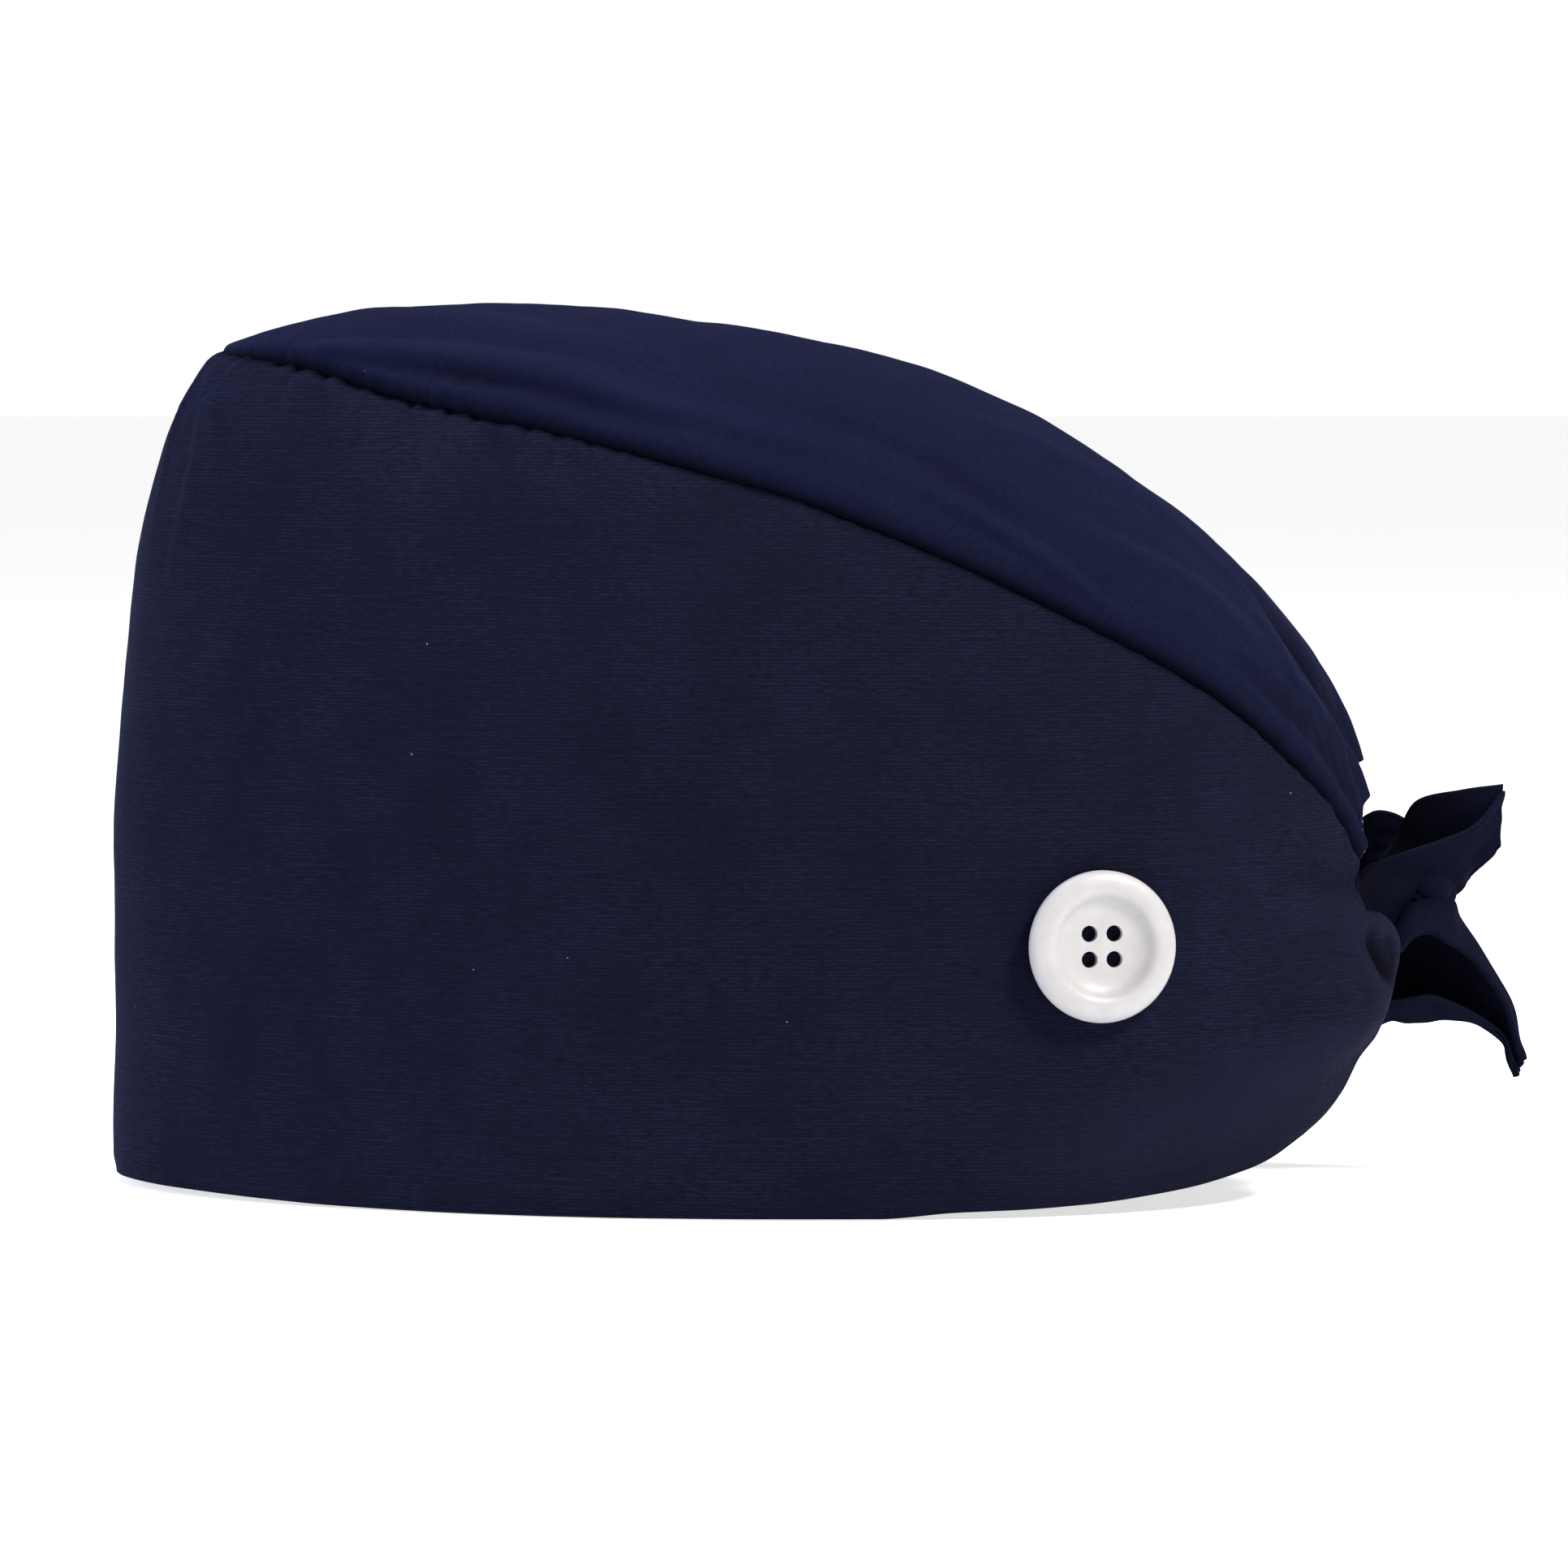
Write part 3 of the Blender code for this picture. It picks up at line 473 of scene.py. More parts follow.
def allowance(edge, turn):
    """Three rows that carry a seam's edge on into the hollow, as the seam allowance does."""
    inward = -form_normals(turn, seam_height(np.abs(turn)))
    return [edge + inward * depth for depth in ALLOWANCE_DEPTHS]


def groove(distance):
    return -GROOVE * np.clip(1 - distance / GROOVE_WIDTH, 0, 1) ** 2


def puckers(turn, distance, seed):
    """Small creases square to the seam that fade away from it."""
    place = turn * SEAM_DEGREE
    wave = ripple(place, 0.0058, seed) + 0.6 * ripple(place + 0.3 * distance, 0.0034, 2 * seed)
    reach = np.exp(-distance / (0.0035 + 0.003 * (0.5 + 0.5 * ripple(place, 0.021, seed))))
    return PUCKER * seam_gather(turn) * wave * reach


def band_point(lengthwise, share):
    """Points of the band and their painted shade. Lengthwise runs from -1, its right end, to 1, and share
    from the hem up."""
    side = np.sign(lengthwise)
    turn = PANEL_END_TURN * np.abs(lengthwise)
    end_share = (np.abs(lengthwise) - LOBE_FROM) / (1 - LOBE_FROM)
    low = rim_height(turn)
    top = seam_height(turn)
    height = low + share * (top - low)
    from_seam = top - height
    from_hem = height - low
    flat = form(side * turn, height)
    shifted = turn + lobe_turn(height) * ease(end_share)
    plan_height = np.where(turn < 114, np.maximum(height, 0.008 * (1 - ease((turn - 99) / 15))), height)
    out = form_normals(side * shifted, plan_height)
    spot = form(side * shifted, plan_height)
    spot[..., 2] = height
    relief = groove(from_seam) + lobe_relief(end_share, height)
    folds = np.zeros_like(height)
    for fold in BAND_FOLDS:
        line = [(BAND_DEGREE * place.turn, place.height, place.lift) for place in fold.line]
        lift = fold_relief(BAND_DEGREE * shifted, height, fold.width, line)
        relief += lift
        folds += lift * fold.shade
    relief += seam_wave(side * turn) * np.exp(-from_seam / 0.004) + puckers(side * turn, from_seam, 1.3)
    relief += 0.00045 * swell(flat, 0.030, 1.0) + 0.00014 * swell(flat, 0.011, 4.0)
    relief -= HEM_TUCK * (1 - ease(from_hem / HEM_ROLL))
    return spot + out * relief[..., None], shade_of(folds, from_seam)


def crown_seam(turn):
    return form(turn, seam_height(np.abs(turn)))


def crown_arch(along, across):
    side_turn = FRONT_SEAM_TURN + (PANEL_END_TURN - FRONT_SEAM_TURN) * along
    foot = crown_seam(side_turn)
    depth = CAP_DEPTH * read(RIDGE, "depth", along)
    ridge = np.stack([0 * along, depth, CAP_HEIGHT * read(RIDGE, "height", along)], axis=-1)
    angle = math.pi / 2 * across
    arch = ridge + (foot - ridge) * (1 - np.cos(angle))[..., None]
    arch[..., 0] = foot[..., 0] * np.sin(angle)
    return arch


def crown_form(along, across):
    """The crown before its folds, its front edge on the seam at the forehead."""
    front = crown_seam(FRONT_SEAM_TURN * across)
    blend = (1 - ease(along / 0.08))[..., None]
    return crown_arch(along, across) + (front - crown_arch(0 * along, across)) * blend


def seam_nearest(points):
    """How far each point is from the seam, and the turn of the nearest place on it."""
    turns = np.linspace(-PANEL_END_TURN, PANEL_END_TURN, 321)
    seam = crown_seam(turns)
    start, run = seam[:-1], np.diff(seam, axis=0)
    distance, near = np.empty(points.shape[:-1]), np.empty(points.shape[:-1])
    for i, row in enumerate(points):
        away = row[:, None, :] - start
        share = np.clip((away * run).sum(axis=-1) / (run**2).sum(axis=-1), 0, 1)
        gap = np.linalg.norm(away - run * share[..., None], axis=-1)
        best = gap.argmin(axis=1)
        pick = np.arange(len(row))
        distance[i] = gap[pick, best]
        near[i] = turns[best] + share[pick, best] * (turns[best + 1] - turns[best])
    return distance, near


def dome_normals(points):
    middle = np.array([0, CAP_DEPTH / 2, 0.060])
    half = np.array([CAP_WIDTH / 2, CAP_DEPTH / 2, CAP_HEIGHT - 0.060])
    return unit((points - middle) / half**2)


def crown_point(along, across):
    """Points of the crown, their painted shade and how far each row's points lie from its middle."""
    base = crown_form(along, across)
    distance, near = seam_nearest(base)
    at_seam = np.exp(-((distance / 0.006) ** 2))[..., None]
    seam_out = form_normals(near, seam_height(np.abs(near)))
    out = unit(dome_normals(base) * (1 - at_seam) + seam_out * at_seam)
    foot = crown_form(along, np.ones_like(across))
    top = crown_form(along, np.zeros_like(across))
    arch_length = 1.15 * np.linalg.norm(foot - top, axis=-1)
    lengths = np.interp(np.linspace(0, 1, 101), along[:, 0], arch_length[:, 0])
    relief = groove(distance)
    roll = CROWN_ROLL * (0.15 + 0.85 * ease(np.abs(near) / 24))
    relief += roll * hill((distance - 0.0028) / CROWN_ROLL_WIDTH)
    inside = ease(distance / 0.004)
    folds = np.zeros_like(relief)
    for fold in CROWN_FOLDS:
        line = []
        for place in fold.line:
            length = np.interp(place.along, np.linspace(0, 1, 101), lengths)
            line.append((CROWN_RUN * place.along, length * place.across, place.lift))
        aside = np.abs(across) if fold.both else across
        lift = fold_relief(CROWN_RUN * along, aside * arch_length, fold.width, line) * inside
        relief += lift
        folds += lift * fold.shade
    relief += seam_wave(near) * np.exp(-distance / 0.004) + puckers(near, distance, 2.2)
    middle = 1 - ease((np.abs(across) - 0.42) / 0.25)
    gather = ripple(across * arch_length, 0.0075, 0.7) + 0.6 * ripple(across * arch_length, 0.0054, 2.9)
    lift = GATHER * gather * ease((along - 0.82) / 0.18) ** 2 * (0.20 + 0.80 * middle) * inside
    relief += lift
    folds += lift
    relief += 0.00065 * swell(base, 0.026, 2.0) + 0.00018 * swell(base, 0.009, 5.0)
    return base + out * relief[..., None], shade_of(folds, distance), across * arch_length


def nape_edge(lengthwise):
    """The cloth's edge round the gap at the nape."""
    side = np.sign(lengthwise)
    arch = crown_form(np.ones_like(lengthwise), np.clip(lengthwise / CASING_ARCH, -1, 1))
    down = np.clip((np.abs(lengthwise) - CASING_ARCH) / (1 - CASING_ARCH), 0, 1)
    foot = seam_height(PANEL_END_TURN)
    end = LOBE_HEIGHT + CASING_END_RISE
    height = foot + (end - foot) * down
    leg = form(side * (PANEL_END_TURN + np.minimum(lobe_turn(height), 0)), height)
    return np.where(down[..., None] > 0, leg, arch)


def soft_nape_edge(lengthwise):
    """The same edge with its corners rounded."""
    return sum(nape_edge(lengthwise + step) for step in (-0.06, -0.03, 0, 0.03, 0.06)) / 5


def casing_point(lengthwise, across):
    """The casing's outer face, ruffled by its elastic. Across runs from the crown to its free edge."""
    spot = soft_nape_edge(lengthwise)
    run = unit(soft_nape_edge(lengthwise + 0.01) - soft_nape_edge(lengthwise - 0.01))
    down = ease((np.abs(lengthwise) - CASING_ARCH) / (1 - CASING_ARCH))
    out = np.stack([spot[..., 0] * 2.2, spot[..., 1] - WIDEST_AT, spot[..., 2] - 0.045], axis=-1)
    into = unit(np.cross(out, run))
    out = np.cross(run, into)
    taper = 1 - 0.60 * ease((np.abs(lengthwise) - 0.60) / 0.22)
    inset = CASING_WIDTH * (1.12 * across - 0.12) * taper
    inset += CASING_RUFFLE * ripple(lengthwise * 0.07, 0.0052, 3.1) * across * (1 - down)
    sunk = 0.0006 + 0.0050 * across * (1 - 0.5 * down) + 0.0026 * down
    ruffle = CASING_RUFFLE * ripple(lengthwise * 0.07 + 0.001 * across, 0.0046, 1.9) * (0.4 + 0.6 * across)
    ruffle *= 1 - 0.7 * down
    channel = 0.0007 * (1 - np.abs(2 * across - 1) ** 3)
    return spot + into * inset[..., None] + out * (ruffle + channel - sunk)[..., None]


def through(rows, places):
    """A smooth curve through the rows, at places from 0 to 1 along it."""
    rows = np.asarray(rows, float)
    ends = np.concatenate([2 * rows[:1] - rows[1:2], rows, 2 * rows[-1:] - rows[-2:-1]])
    at = np.clip(places, 0, 1) * (len(rows) - 1)
    first = np.minimum(at.astype(int), len(rows) - 2)
    shape = (-1,) + (1,) * (rows.ndim - 1)
    t = (at - first).reshape(shape)
    a, b, c, d = (ends[first + i] for i in range(4))
    bend = (2 * a - 5 * b + 4 * c - d) * t**2 + (3 * b - a - 3 * c + d) * t**3
    return 0.5 * (2 * b + (c - a) * t + bend)


def straight(rows, places):
    """The same places on straight lines between the rows."""
    at = np.clip(places, 0, 1) * (len(rows) - 1)
    first = np.minimum(at.astype(int), len(rows) - 2)
    t = (at - first).reshape((-1,) + (1,) * (rows.ndim - 1))
    return rows[first] * (1 - t) + rows[first + 1] * t


def grid_normals(points):
    along = np.gradient(points, axis=0)
    across = np.gradient(points, axis=1)
    normals = np.cross(along, across)
    return normals / np.maximum(np.linalg.norm(normals, axis=-1, keepdims=True), 1e-12)


def strap_points(lines, crease, count=(141, 57)):
    """A strap's middle layer through its lines. Crease, from 0 to 1, makes the folds sharper."""
    along, across = np.linspace(0, 1, count[0]), np.linspace(0, 1, count[1])
    spread = np.stack([through(line, along) for line in lines.values()])
    folded = straight(spread, across) * crease + through(spread, across) * (1 - crease)
    points = np.swapaxes(folded, 0, 1) * 0.001 + np.array(KNOT)
    run, side = np.meshgrid(along, across, indexing="ij")
    wrinkle = 0.00030 * ripple(run * 0.05 + 0.006 * side, 0.0075, 2.5) * hill((side - 0.5) / 0.55)
    wrinkle += 0.00022 * ripple(side * 0.03 + 0.008 * run, 0.0062, 1.1)
    return points + grid_normals(points) * wrinkle[..., None]


# Making pieces

def nothing_selected():
    bpy.ops.object.select_all(action="DESELECT")


def apply_all(piece):
    nothing_selected()
    bpy.context.view_layer.objects.active = piece
    piece.select_set(True)
    for modifier in list(piece.modifiers):
        bpy.ops.object.modifier_apply(modifier=modifier.name)


def cloth_piece(name, points, laid, finish, thickness, offset=-1.0, shade=None):
    """A sheet through rows and columns of points. Laid is each one's place on the flat cloth, in metres."""
    rows, columns = points.shape[:2]
    mesh = bpy.data.meshes.new(name)
    spots = points.reshape(-1, 3) - np.array(TO_ORIGIN)
    first = (np.arange(rows - 1)[:, None] * columns + np.arange(columns - 1)).ravel()
    faces = np.stack([first, first + 1, first + columns + 1, first + columns], axis=1)
    mesh.from_pydata(spots.tolist(), [], faces.tolist())
    weave = mesh.uv_layers.new(name="weave")
    weave.data.foreach_set("uv", laid.reshape(-1, 2)[faces.ravel()].ravel())
    # The shade attribute carries painted shade and painted highlight into the cloth's colour.
    if shade is not None:
        depths = mesh.attributes.new("shade", "FLOAT", "POINT")
        depths.data.foreach_set("value", shade.ravel())
    mesh.polygons.foreach_set("use_smooth", np.ones(len(faces), bool))
    piece = bpy.data.objects.new(name, mesh)
    bpy.context.scene.collection.objects.link(piece)
    mesh.materials.append(finish)
    wall = piece.modifiers.new("wall", "SOLIDIFY")
    wall.thickness = thickness
    wall.offset = offset
    wall.use_even_offset = False
    apply_all(piece)
    return piece


def closer_at_ends(share, pull):
    return share - pull * np.sin(2 * math.pi * share) / (2 * math.pi)


def row_shares(count, low, high):
    """Shares of a height with closer rows in the lowest and the highest part."""
    middle = np.linspace(low, 1 - high, count)[1:-1]
    return np.concatenate([np.linspace(0, low, 5), middle, np.linspace(1 - high, 1, 10)])


def make_band(finish):
    half = closer_at_ends(np.linspace(0, 1, 226), 0.45)
    lengthwise = np.concatenate([-half[:0:-1], half])
    shares = row_shares(78, 0.02, 0.045)
    points, shade = band_point(*np.meshgrid(lengthwise, shares))
    rows = allowance(points[-1], PANEL_END_TURN * lengthwise)
    points = np.concatenate([points, np.stack(rows)])
    shade = np.pad(shade, ((0, len(rows)), (0, 0)), mode="edge")
    laid = np.stack([np.broadcast_to(0.30 * lengthwise, shade.shape), points[..., 2]], axis=-1)
    return cloth_piece("band_cloth", points, laid, finish, CLOTH, shade=shade)


def make_crown(finish):
    along = closer_at_ends(np.linspace(0, 1, 221), 0.5)
    step = np.linspace(-1, 1, 193)
    across = np.sign(step) * (1 - (1 - np.abs(step)) ** 1.3)
    places = np.meshgrid(along, across, indexing="ij")
    points, shade, out_from_middle = crown_point(*places)
    turn = FRONT_SEAM_TURN + (PANEL_END_TURN - FRONT_SEAM_TURN) * along
    right = np.stack(allowance(points[:, 0], -turn)[::-1], axis=1)
    left = np.stack(allowance(points[:, -1], turn), axis=1)
    points = np.concatenate([right, points, left], axis=1)
    turns = np.pad(FRONT_SEAM_TURN * across, 3, mode="edge")
    front = np.stack(allowance(points[0], turns)[::-1])
    edges = ((3, 0), (3, 3))
    shade = np.pad(shade, edges, mode="edge")
    lengths = np.broadcast_to(0.24 * along[:, None], out_from_middle.shape)
    laid = np.stack([np.pad(part, edges, mode="edge") for part in (out_from_middle, lengths)], axis=-1)
    return cloth_piece("crown_cloth", np.concatenate([front, points]), laid, finish, CLOTH, shade=shade)


def make_casing(finish):
    lengthwise, across = np.meshgrid(np.linspace(1, -1, 301), np.linspace(0, 1, 13), indexing="ij")
    laid = np.stack([0.013 * across, 0.05 * lengthwise], axis=-1)
    return cloth_piece("casing_cloth", casing_point(lengthwise, across), laid, finish, CASING_CLOTH)


def make_strap(name, lines, finish, crease, flat, painted_shades=()):
    """A strap. Painted shades are the places deep in its folds that get painted shade."""
    points = strap_points(lines, crease)
    run, side = np.meshgrid(*(np.linspace(0, 1, count) for count in points.shape[:2]), indexing="ij")
    shade = np.zeros_like(run)
    for shaded_spot in painted_shades:
        away = np.hypot((run - shaded_spot.run) / shaded_spot.run_half, (side - shaded_spot.side) / shaded_spot.side_half)
        shade -= shaded_spot.depth * (1 - ease(away))
    laid = np.stack([flat[0] * side, flat[1] * run], axis=-1)
    return cloth_piece(name, points, laid, finish, STRAP_CLOTH, 0.0, np.clip(shade, -1, 0))


def make_knot(finish):
    """The knot: the straps' turns round each other, with a groove between the turns."""
    nothing_selected()
    place = KNOT - TO_ORIGIN
    bpy.ops.mesh.primitive_uv_sphere_add(segments=96, ring_count=64, radius=1, location=(0, 0, 0))
    knot = bpy.context.object
    knot.name = knot.data.name = "tied_knot"
    for vertex in knot.data.vertices:
        spot = vertex.co.copy()
        wound = 2.4 * (spot.z + 0.55 * spot.y) + 0.5 * spot.x
        turn = abs(math.sin(wound)) ** 0.6
        crease = 0.06 * math.sin(9 * spot.x + 4 * spot.z) * (1 - abs(spot.z))
        reach = 0.86 + 0.16 * turn + crease
        vertex.co = Vector(a * b for a, b in zip(spot * reach, KNOT_HALF * 0.94)) + place
    bpy.ops.object.shade_smooth()
    knot.data.materials.append(finish)
    return knot


# Finishes

class Value:
    """A number, colour or vector that varies over a surface, for sums in plain Python."""

    def __init__(self, finish, socket):
        self.finish = finish
        self.socket = socket

    def sum(self, operation, first, second):
        return self.finish.node("ShaderNodeMath", {"operation": operation}, {0: first, 1: second})

    def __add__(self, other):
        return self.sum("ADD", self, other)

    def __radd__(self, other):
        return self.sum("ADD", other, self)

    def __rsub__(self, other):
        return self.sum("SUBTRACT", other, self)

    def __mul__(self, other):
        return self.sum("MULTIPLY", self, other)

    def __gt__(self, other):
        return self.sum("GREATER_THAN", self, other)

    def __lt__(self, other):
        return self.sum("LESS_THAN", self, other)


class Finish:
    """A material under construction."""

    def __init__(self, name):
        self.material = bpy.data.materials.new(name)
        self.material.use_nodes = True
        self.tree = self.material.node_tree
        self.shader = self.tree.nodes["Principled BSDF"]

    def node(self, kind, settings=None, inputs=None, output=0):
        node = self.tree.nodes.new(kind)
        for name, value in (settings or {}).items():
            setattr(node, name, value)
        for name, value in (inputs or {}).items():
            self.feed(node.inputs[name], value)
        return Value(self, node.outputs[output])

    def feed(self, socket, value):
        if isinstance(value, Value):
            self.tree.links.new(value.socket, socket)
        else:
            socket.default_value = value

    def mix(self, share, first, second):
        settings = {"data_type": "RGBA"}
        return self.node("ShaderNodeMix", settings, {0: share, 6: first, 7: second}, 2)

    def noise(self, place, scale, detail=2.0, rough=0.5):
        inputs = {"Vector": place, "Scale": scale, "Detail": detail, "Roughness": rough}
        return self.node("ShaderNodeTexNoise", None, inputs)

    def stretched(self, place, scale, turn=0.0):
        inputs = {"Vector": place, "Scale": scale, "Rotation": (0, 0, turn)}
        return self.node("ShaderNodeMapping", None, inputs)

    def ramp(self, value, low, high, to_low=0.0, to_high=1.0):
        inputs = {"Value": value, "From Min": low, "From Max": high, "To Min": to_low, "To Max": to_high}
        return self.node("ShaderNodeMapRange", None, inputs)

    def set(self, **values):
        for name, value in values.items():
            self.feed(self.shader.inputs[name.replace("_", " ")], value)


LINT = (0.16, 0.17, 0.24, 1)
# Near-black navy, used only as painted shade in hollows, seams and strap folds.
PAINTED_SHADE_COLOUR = (0.0007, 0.0007, 0.0016, 1)
Dye = namedtuple("Dye", "plain light dark")
BAND_DYE = Dye((0.0028, 0.0033, 0.0086, 1), (0.0082, 0.0091, 0.0212, 1), (0.0021, 0.0025, 0.0070, 1))
# The crown's dye is the cloth's navy made bluer than the band's, as painted light for the light from above.
CROWN_DYE_AND_PAINTED_LIGHT = Dye((0.0027, 0.0033, 0.0112, 1), (0.0064, 0.0074, 0.0226, 1), (0.0020, 0.0025, 0.0088, 1))
TIE_DYE = Dye((0.0026, 0.0030, 0.0084, 1), (0.0052, 0.0058, 0.0150, 1), (0.0019, 0.0022, 0.0064, 1))


def navy_cloth(name, dye, turn, streak, worn):
    """Plain-woven navy cloth, with painted shade in its hollows and seams and painted highlight on its
    ridges. Its weft runs along the cloth, turned by this angle.
    """
    finish = Finish(name)
    laid = finish.node("ShaderNodeUVMap", {"uv_map": "weave"})
    place = finish.node("ShaderNodeTexCoord", None, None, "Object")
    turned = finish.stretched(laid, (1, 1, 1), turn)
    waves = {"Vector": turned, "Scale": 520.0, "Distortion": 2.2, "Detail": 2.0, "Detail Scale": 0.8}
    rows = finish.node("ShaderNodeTexWave", {"bands_direction": "Y"}, waves, "Fac")
    dashes = finish.noise(finish.stretched(laid, (420, 1500, 1), turn), 1.0, 2.0, 0.6)
    slubs = finish.noise(finish.stretched(laid, (60, 1900, 1), turn), 1.0, 2.0, 0.6)
    grain = finish.noise(finish.stretched(laid, (2600, 2600, 1), turn), 1.0, 1.0, 0.5)
    broad = finish.noise(place, 34.0, 3.0, 0.6)
    patches = finish.ramp(finish.noise(place, 85.0, 2.0, 0.5), 0.35, 0.65)
    picks = rows * finish.ramp(dashes, 0.36, 0.66) * (0.45 + patches * 0.55)
    weave = picks * 0.50 + slubs * 0.26 + grain * 0.34
    lit = finish.ramp(weave, 0.18, 0.66)
    rubbed = finish.ramp(broad, 0.35, 0.75)
    base = finish.mix(lit * streak, dye.plain, dye.light)
    base = finish.mix((1 - rubbed) * worn, base, dye.dark)
    # Painted highlight: ridges are mixed towards the light dye. Painted shade: hollows and seams are mixed
    # towards near-black navy.
    fold = finish.node("ShaderNodeAttribute", {"attribute_name": "shade"}, None, "Fac")
    base = finish.mix(finish.ramp(fold, 0.0, 1.0, 0.0, 0.6), base, dye.light)
    base = finish.mix(finish.ramp(fold, 0.0, -1.0, 0.0, 0.86), base, PAINTED_SHADE_COLOUR)
    specks = {"Vector": place, "Scale": 185.0}
    far = finish.node("ShaderNodeTexVoronoi", {"feature": "F1"}, specks)
    pick = finish.node("ShaderNodeTexVoronoi", {"feature": "F1"}, specks, "Color")
    rare = finish.node("ShaderNodeSeparateColor", None, {0: pick}) > 0.88
    lint = (far < 0.036) * rare
    base = finish.mix(lint * 0.75, base, LINT)
    relief = weave + lint * 0.4
    raised = {"Strength": 0.5, "Distance": 0.00020, "Height": relief}
    normal = finish.node("ShaderNodeBump", None, raised)
    finish.set(Base_Color=base, Normal=normal, Roughness=finish.ramp(weave, 0.3, 0.7, 0.92, 0.78))
    finish.set(Sheen_Weight=0.012, Sheen_Roughness=0.35, Sheen_Tint=(0.30, 0.38, 1.0, 1))
    finish.set(Specular_IOR_Level=0.02)
    return finish.material


def white_plastic(name):
    finish = Finish(name)
    place = finish.node("ShaderNodeTexCoord", None, None, "Object")
    cloudy = finish.noise(place, 260.0, 3.0, 0.6)
    scuffs = finish.noise(finish.stretched(place, (300, 2600, 2600), 0.4), 1.0, 2.0, 0.6)
    base = finish.mix(finish.ramp(cloudy, 0.3, 0.7), (0.315, 0.297, 0.288, 1), (0.345, 0.327, 0.317, 1))
    normal = finish.node("ShaderNodeBump", None, {"Strength": 0.12, "Distance": 0.0001, "Height": scuffs})
    finish.set(Base_Color=base, Normal=normal, Roughness=finish.ramp(scuffs, 0.35, 0.7, 0.44, 0.54))
    finish.set(Coat_Weight=0.06, Coat_Roughness=0.35, IOR=1.45)
    return finish.material


def thread(name):
    finish = Finish(name)
    place = finish.node("ShaderNodeTexCoord", None, None, "Object")
    twist = finish.noise(place, 2400.0, 1.0, 0.5)
    base = finish.mix(finish.ramp(twist, 0.35, 0.65), (0.035, 0.037, 0.058, 1), (0.085, 0.09, 0.12, 1))
    finish.set(Base_Color=base, Roughness=0.7, Sheen_Weight=0.3)
    return finish.material


# Buttons

Ring = namedtuple("Ring", "radius height")
BUTTON_FACE = [
    Ring(0.987, 0.64), Ring(0.965, 0.77), Ring(0.93, 0.87), Ring(0.88, 0.94), Ring(0.83, 0.98),
    Ring(0.785, 1.00), Ring(0.74, 0.99), Ring(0.705, 0.95), Ring(0.67, 0.87), Ring(0.64, 0.76),
    Ring(0.605, 0.64), Ring(0.56, 0.53), Ring(0.50, 0.44), Ring(0.43, 0.39), Ring(0.37, 0.365),
]
BUTTON_BACK = [Ring(0.975, 0.22), Ring(0.93, 0.11), Ring(0.86, 0.03), Ring(0.78, 0.0)]
# The plain disc that both faces grow from lies between these shares of the thickness.
BLANK_LOW = 0.36
BLANK_HIGH = 0.48
HOLE_RADIUS = 0.00138
HOLE_FROM_MIDDLE = 0.00215
BUTTON_EDGE = 0.00018
BUTTON_GAP = 0.0003


def rings(ring_list, start):
    """Insets the selected face, ring by ring, each to its radius and height in shares of the button."""
    radius = BUTTON_RADIUS
    height = BUTTON_THICKNESS * start
    for ring in ring_list:
        bpy.ops.mesh.inset(thickness=radius - BUTTON_RADIUS * ring.radius)
        bpy.ops.transform.translate(value=(0, 0, BUTTON_THICKNESS * ring.height - height))
        radius = BUTTON_RADIUS * ring.radius
        height = BUTTON_THICKNESS * ring.height


def button_blank():
    """A round button with a thick rounded rim, a dished middle and four holes."""
    nothing_selected()
    low, high = BLANK_LOW * BUTTON_THICKNESS, BLANK_HIGH * BUTTON_THICKNESS
    bpy.ops.mesh.primitive_cylinder_add(
        vertices=128, radius=BUTTON_RADIUS, depth=high - low, location=(0, 0, (low + high) / 2)
    )
    button = bpy.context.object
    bpy.ops.object.transform_apply(location=True, rotation=True, scale=True)
    for facing, ring_list, start in ((1, BUTTON_FACE, BLANK_HIGH), (-1, BUTTON_BACK, BLANK_LOW)):
        bpy.ops.object.mode_set(mode="EDIT")
        bpy.ops.mesh.select_all(action="DESELECT")
        bpy.ops.object.mode_set(mode="OBJECT")
        flat = [face for face in button.data.polygons if len(face.vertices) > 4]
        end = max(flat, key=lambda face: face.normal.z * facing)
        end.select = True
        bpy.ops.object.mode_set(mode="EDIT")
        bpy.ops.mesh.select_mode(type="FACE")
        rings(ring_list, start)
        bpy.ops.object.mode_set(mode="OBJECT")
    for x in (-HOLE_FROM_MIDDLE, HOLE_FROM_MIDDLE):
        for y in (-HOLE_FROM_MIDDLE, HOLE_FROM_MIDDLE):
            nothing_selected()
            spot = (x, y, 0)
            bpy.ops.mesh.primitive_cylinder_add(vertices=32, radius=HOLE_RADIUS, depth=0.02, location=spot)
            drill = bpy.context.object
            hole = button.modifiers.new("hole", "BOOLEAN")
            hole.operation = "DIFFERENCE"
            hole.solver = "EXACT"
            hole.object = drill
            apply_all(button)
            bpy.data.objects.remove(drill)
    edge = button.modifiers.new("edge", "BEVEL")
    edge.width = BUTTON_EDGE
    edge.segments = 3
    edge.limit_method = "ANGLE"
    edge.angle_limit = math.radians(60)
    apply_all(button)
    bpy.ops.object.shade_smooth_by_angle(angle=math.radians(35))
    return button


def button_place(side):
    turn, height = np.array(side * BUTTON_TURN), np.array(BUTTON_HEIGHT)
    out = Vector(form_normals(turn, height))
    spot = Vector(form(turn, height)) - TO_ORIGIN + out * BUTTON_GAP
    level = Vector((0, 0, 1)).cross(out).normalized()
    return Matrix.Translation(spot) @ Matrix((level, out.cross(level), out)).transposed().to_4x4()


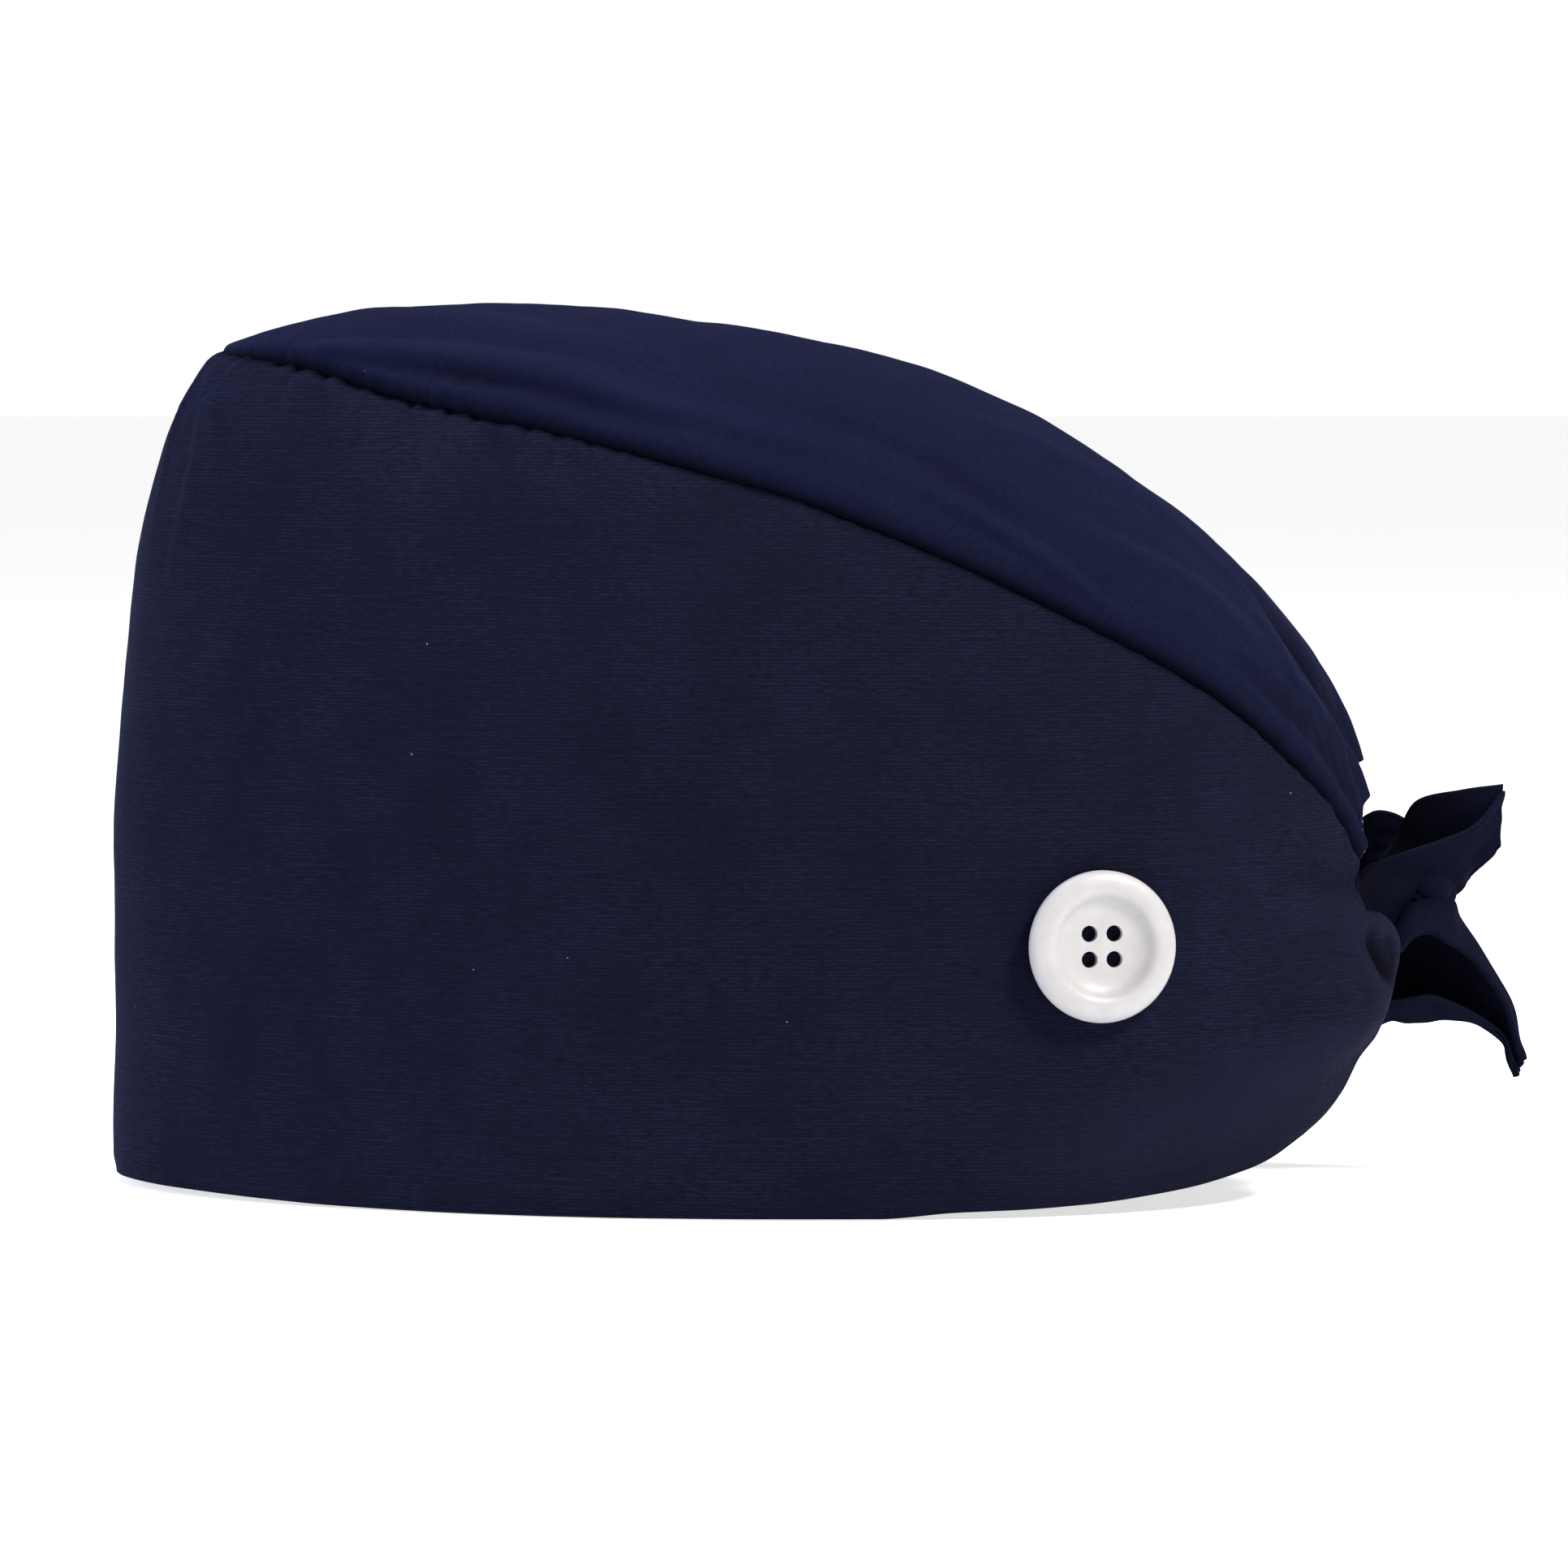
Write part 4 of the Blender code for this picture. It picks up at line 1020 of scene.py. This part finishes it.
def make_buttons(finish):
    blank = button_blank()
    blank.data.materials.append(finish)
    made = []
    for name, side in (("left_button_face", 1), ("right_button_face", -1)):
        button = bpy.data.objects.new(name, blank.data.copy())
        bpy.context.scene.collection.objects.link(button)
        button.data.name = name
        button.data.transform(button_place(side))
        made.append(button)
    bpy.data.objects.remove(blank)
    return made


# Stitches

STITCH_PLACES = np.linspace(-0.80, 0.80, 35)
STITCH_ROWS = (0.16, 0.86)
STITCH_HALF = (0.00068, 0.00015, 0.00013)
STITCH_LIFT = 0.00005


def make_stitches(finish):
    """Small stitches along the casing, one row beside the crown and one beside the free edge."""
    nothing_selected()
    bpy.ops.mesh.primitive_uv_sphere_add(segments=8, ring_count=6, radius=1, location=(0, 0, 0))
    model = bpy.context.object
    shape = model.data
    stitches = bmesh.new()
    for across in STITCH_ROWS:
        row = np.full_like(STITCH_PLACES, across)
        here = casing_point(STITCH_PLACES, row)
        ahead = casing_point(STITCH_PLACES + 0.005, row)
        beside = casing_point(STITCH_PLACES, row + 0.02)
        for spot, on, by in zip(here, ahead, beside):
            run = Vector(on - spot).normalized()
            side = Vector(by - spot).normalized()
            out = run.cross(side).normalized()
            if out.y < 0:
                out.negate()
            turned = Matrix((run, out.cross(run), out)).transposed().to_4x4()
            sized = Matrix.Diagonal((*STITCH_HALF, 1))
            put = Matrix.Translation(Vector(spot) - TO_ORIGIN + out * STITCH_LIFT)
            copy = shape.copy()
            copy.transform(put @ turned @ sized)
            stitches.from_mesh(copy)
            bpy.data.meshes.remove(copy)
    mesh = bpy.data.meshes.new("casing_stitches")
    stitches.to_mesh(mesh)
    stitches.free()
    bpy.data.objects.remove(model)
    piece = bpy.data.objects.new("casing_stitches", mesh)
    bpy.context.scene.collection.objects.link(piece)
    mesh.polygons.foreach_set("use_smooth", np.ones(len(mesh.polygons), bool))
    mesh.materials.append(finish)
    return piece


# Studio

ROOM_LIGHT = 0.32
FLOOR_GLOW = 0.70
FLOOR_SIZE = 30
FLOOR_DROP = 0.0002
CAMERA_AIM = Vector((0, 0.1169, 0.0686))
CAMERA_RISE = 2.8
CAMERA_DISTANCE = 1.6
CAMERA_LENS = 210.7


def area_light(name, place, aim, size, power, colour=(1, 1, 1)):
    light = bpy.data.lights.new(name, "AREA")
    light.shape = "RECTANGLE"
    light.size, light.size_y = size
    light.energy = power
    light.color = colour
    lamp = bpy.data.objects.new(name, light)
    bpy.context.scene.collection.objects.link(lamp)
    lamp.location = place
    lamp.rotation_euler = (Vector(aim) - Vector(place)).to_track_quat("-Z", "Y").to_euler()


def pale_room():
    """A white room that is seen brighter than it lights."""
    world = bpy.data.worlds.new("pale_room")
    world.use_nodes = True
    nodes, links = world.node_tree.nodes, world.node_tree.links
    backdrop = nodes["Background"]
    backdrop.inputs["Color"].default_value = (1, 1, 1, 1)
    seen = nodes.new("ShaderNodeLightPath")
    strength = nodes.new("ShaderNodeMapRange")
    strength.inputs["To Min"].default_value = ROOM_LIGHT
    strength.inputs["To Max"].default_value = 1.0
    links.new(seen.outputs["Is Camera Ray"], strength.inputs["Value"])
    links.new(strength.outputs["Result"], backdrop.inputs["Strength"])
    return world


def studio():
    scene = bpy.context.scene
    scene.view_settings.view_transform = "Standard"
    scene.world = pale_room()
    nothing_selected()
    bpy.ops.mesh.primitive_plane_add(size=FLOOR_SIZE, location=(0, 0, -FLOOR_DROP))
    floor = bpy.context.object
    floor.name = floor.data.name = "studio_floor"
    pale = Finish("pale_floor")
    place = pale.node("ShaderNodeTexCoord", None, None, "Object")
    cloudy = pale.noise(place, 3.0)
    pale.set(Base_Color=pale.mix(cloudy, (0.70, 0.70, 0.70, 1), (0.74, 0.74, 0.74, 1)), Roughness=0.8)
    pale.set(Emission_Color=(1, 1, 1, 1), Emission_Strength=FLOOR_GLOW)
    floor.data.materials.append(pale.material)
    aim = (0, 0, 0.07)
    area_light("key_softbox", (0.80, 0.95, 1.25), aim, (0.32, 0.32), 46)
    area_light("top_softbox", (-0.10, -0.30, 1.6), aim, (0.45, 0.45), 36, (0.78, 0.83, 1.0))
    area_light("front_softbox", (0.1, -1.6, 0.5), aim, (0.7, 1.0), 30, (0.58, 0.68, 1.0))


def photo_camera():
    """The photo's view: level with the wearer's left side, from a little above."""
    camera = bpy.data.cameras.new("photo_camera")
    camera.lens = CAMERA_LENS
    camera.sensor_width = 36
    camera.clip_end = 60
    seen = bpy.data.objects.new("photo_camera", camera)
    bpy.context.scene.collection.objects.link(seen)
    aim = CAMERA_AIM - TO_ORIGIN
    rise = math.radians(CAMERA_RISE)
    seen.location = aim + CAMERA_DISTANCE * Vector((math.cos(rise), 0, math.sin(rise)))
    seen.rotation_euler = (aim - seen.location).to_track_quat("-Z", "Y").to_euler()
    bpy.context.scene.camera = seen


def main():
    photo_camera()
    studio()
    band_finish = navy_cloth("band_weave", BAND_DYE, 0.0, 0.9, 0.35)
    crown_finish = navy_cloth("crown_weave", CROWN_DYE_AND_PAINTED_LIGHT, 0.9, 0.7, 0.3)
    tie_finish = navy_cloth("tie_weave", TIE_DYE, 1.2, 0.6, 0.4)
    band = make_band(band_finish)
    crown = make_crown(crown_finish)
    casing = make_casing(tie_finish)
    left = make_strap("left_tie_strap", LEFT_TIE, tie_finish, 0.45, (0.028, 0.062), LEFT_TIE_PAINTED_SHADE)
    right = make_strap("right_tie_strap", RIGHT_TIE, tie_finish, 0.1, (0.018, 0.045), RIGHT_TIE_PAINTED_SHADE)
    tail = make_strap("lower_tail_strap", LOWER_TAIL, tie_finish, 0.45, (0.034, 0.040), LOWER_TAIL_PAINTED_SHADE)
    knot = make_knot(tie_finish)
    stitches = make_stitches(thread("casing_thread"))
    left_button, right_button = make_buttons(white_plastic("button_white"))
    stands_for = (
        (band, "band_panel", "band_cloth"),
        (crown, "crown_panel", "crown_cloth"),
        (casing, "back_casing", "casing_cloth"),
        (left, "left_tie", "tie_cloth"),
        (right, "right_tie", "tie_cloth"),
        (tail, "lower_tail", "tie_cloth"),
        (knot, "tie_knot", "tie_cloth"),
        (left_button, "left_button", "button_plastic"),
        (right_button, "right_button", "button_plastic"),
    )
    for piece, node, slot in stands_for:
        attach(piece, "root")
        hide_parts(node)
    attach(stitches, "root")


main()
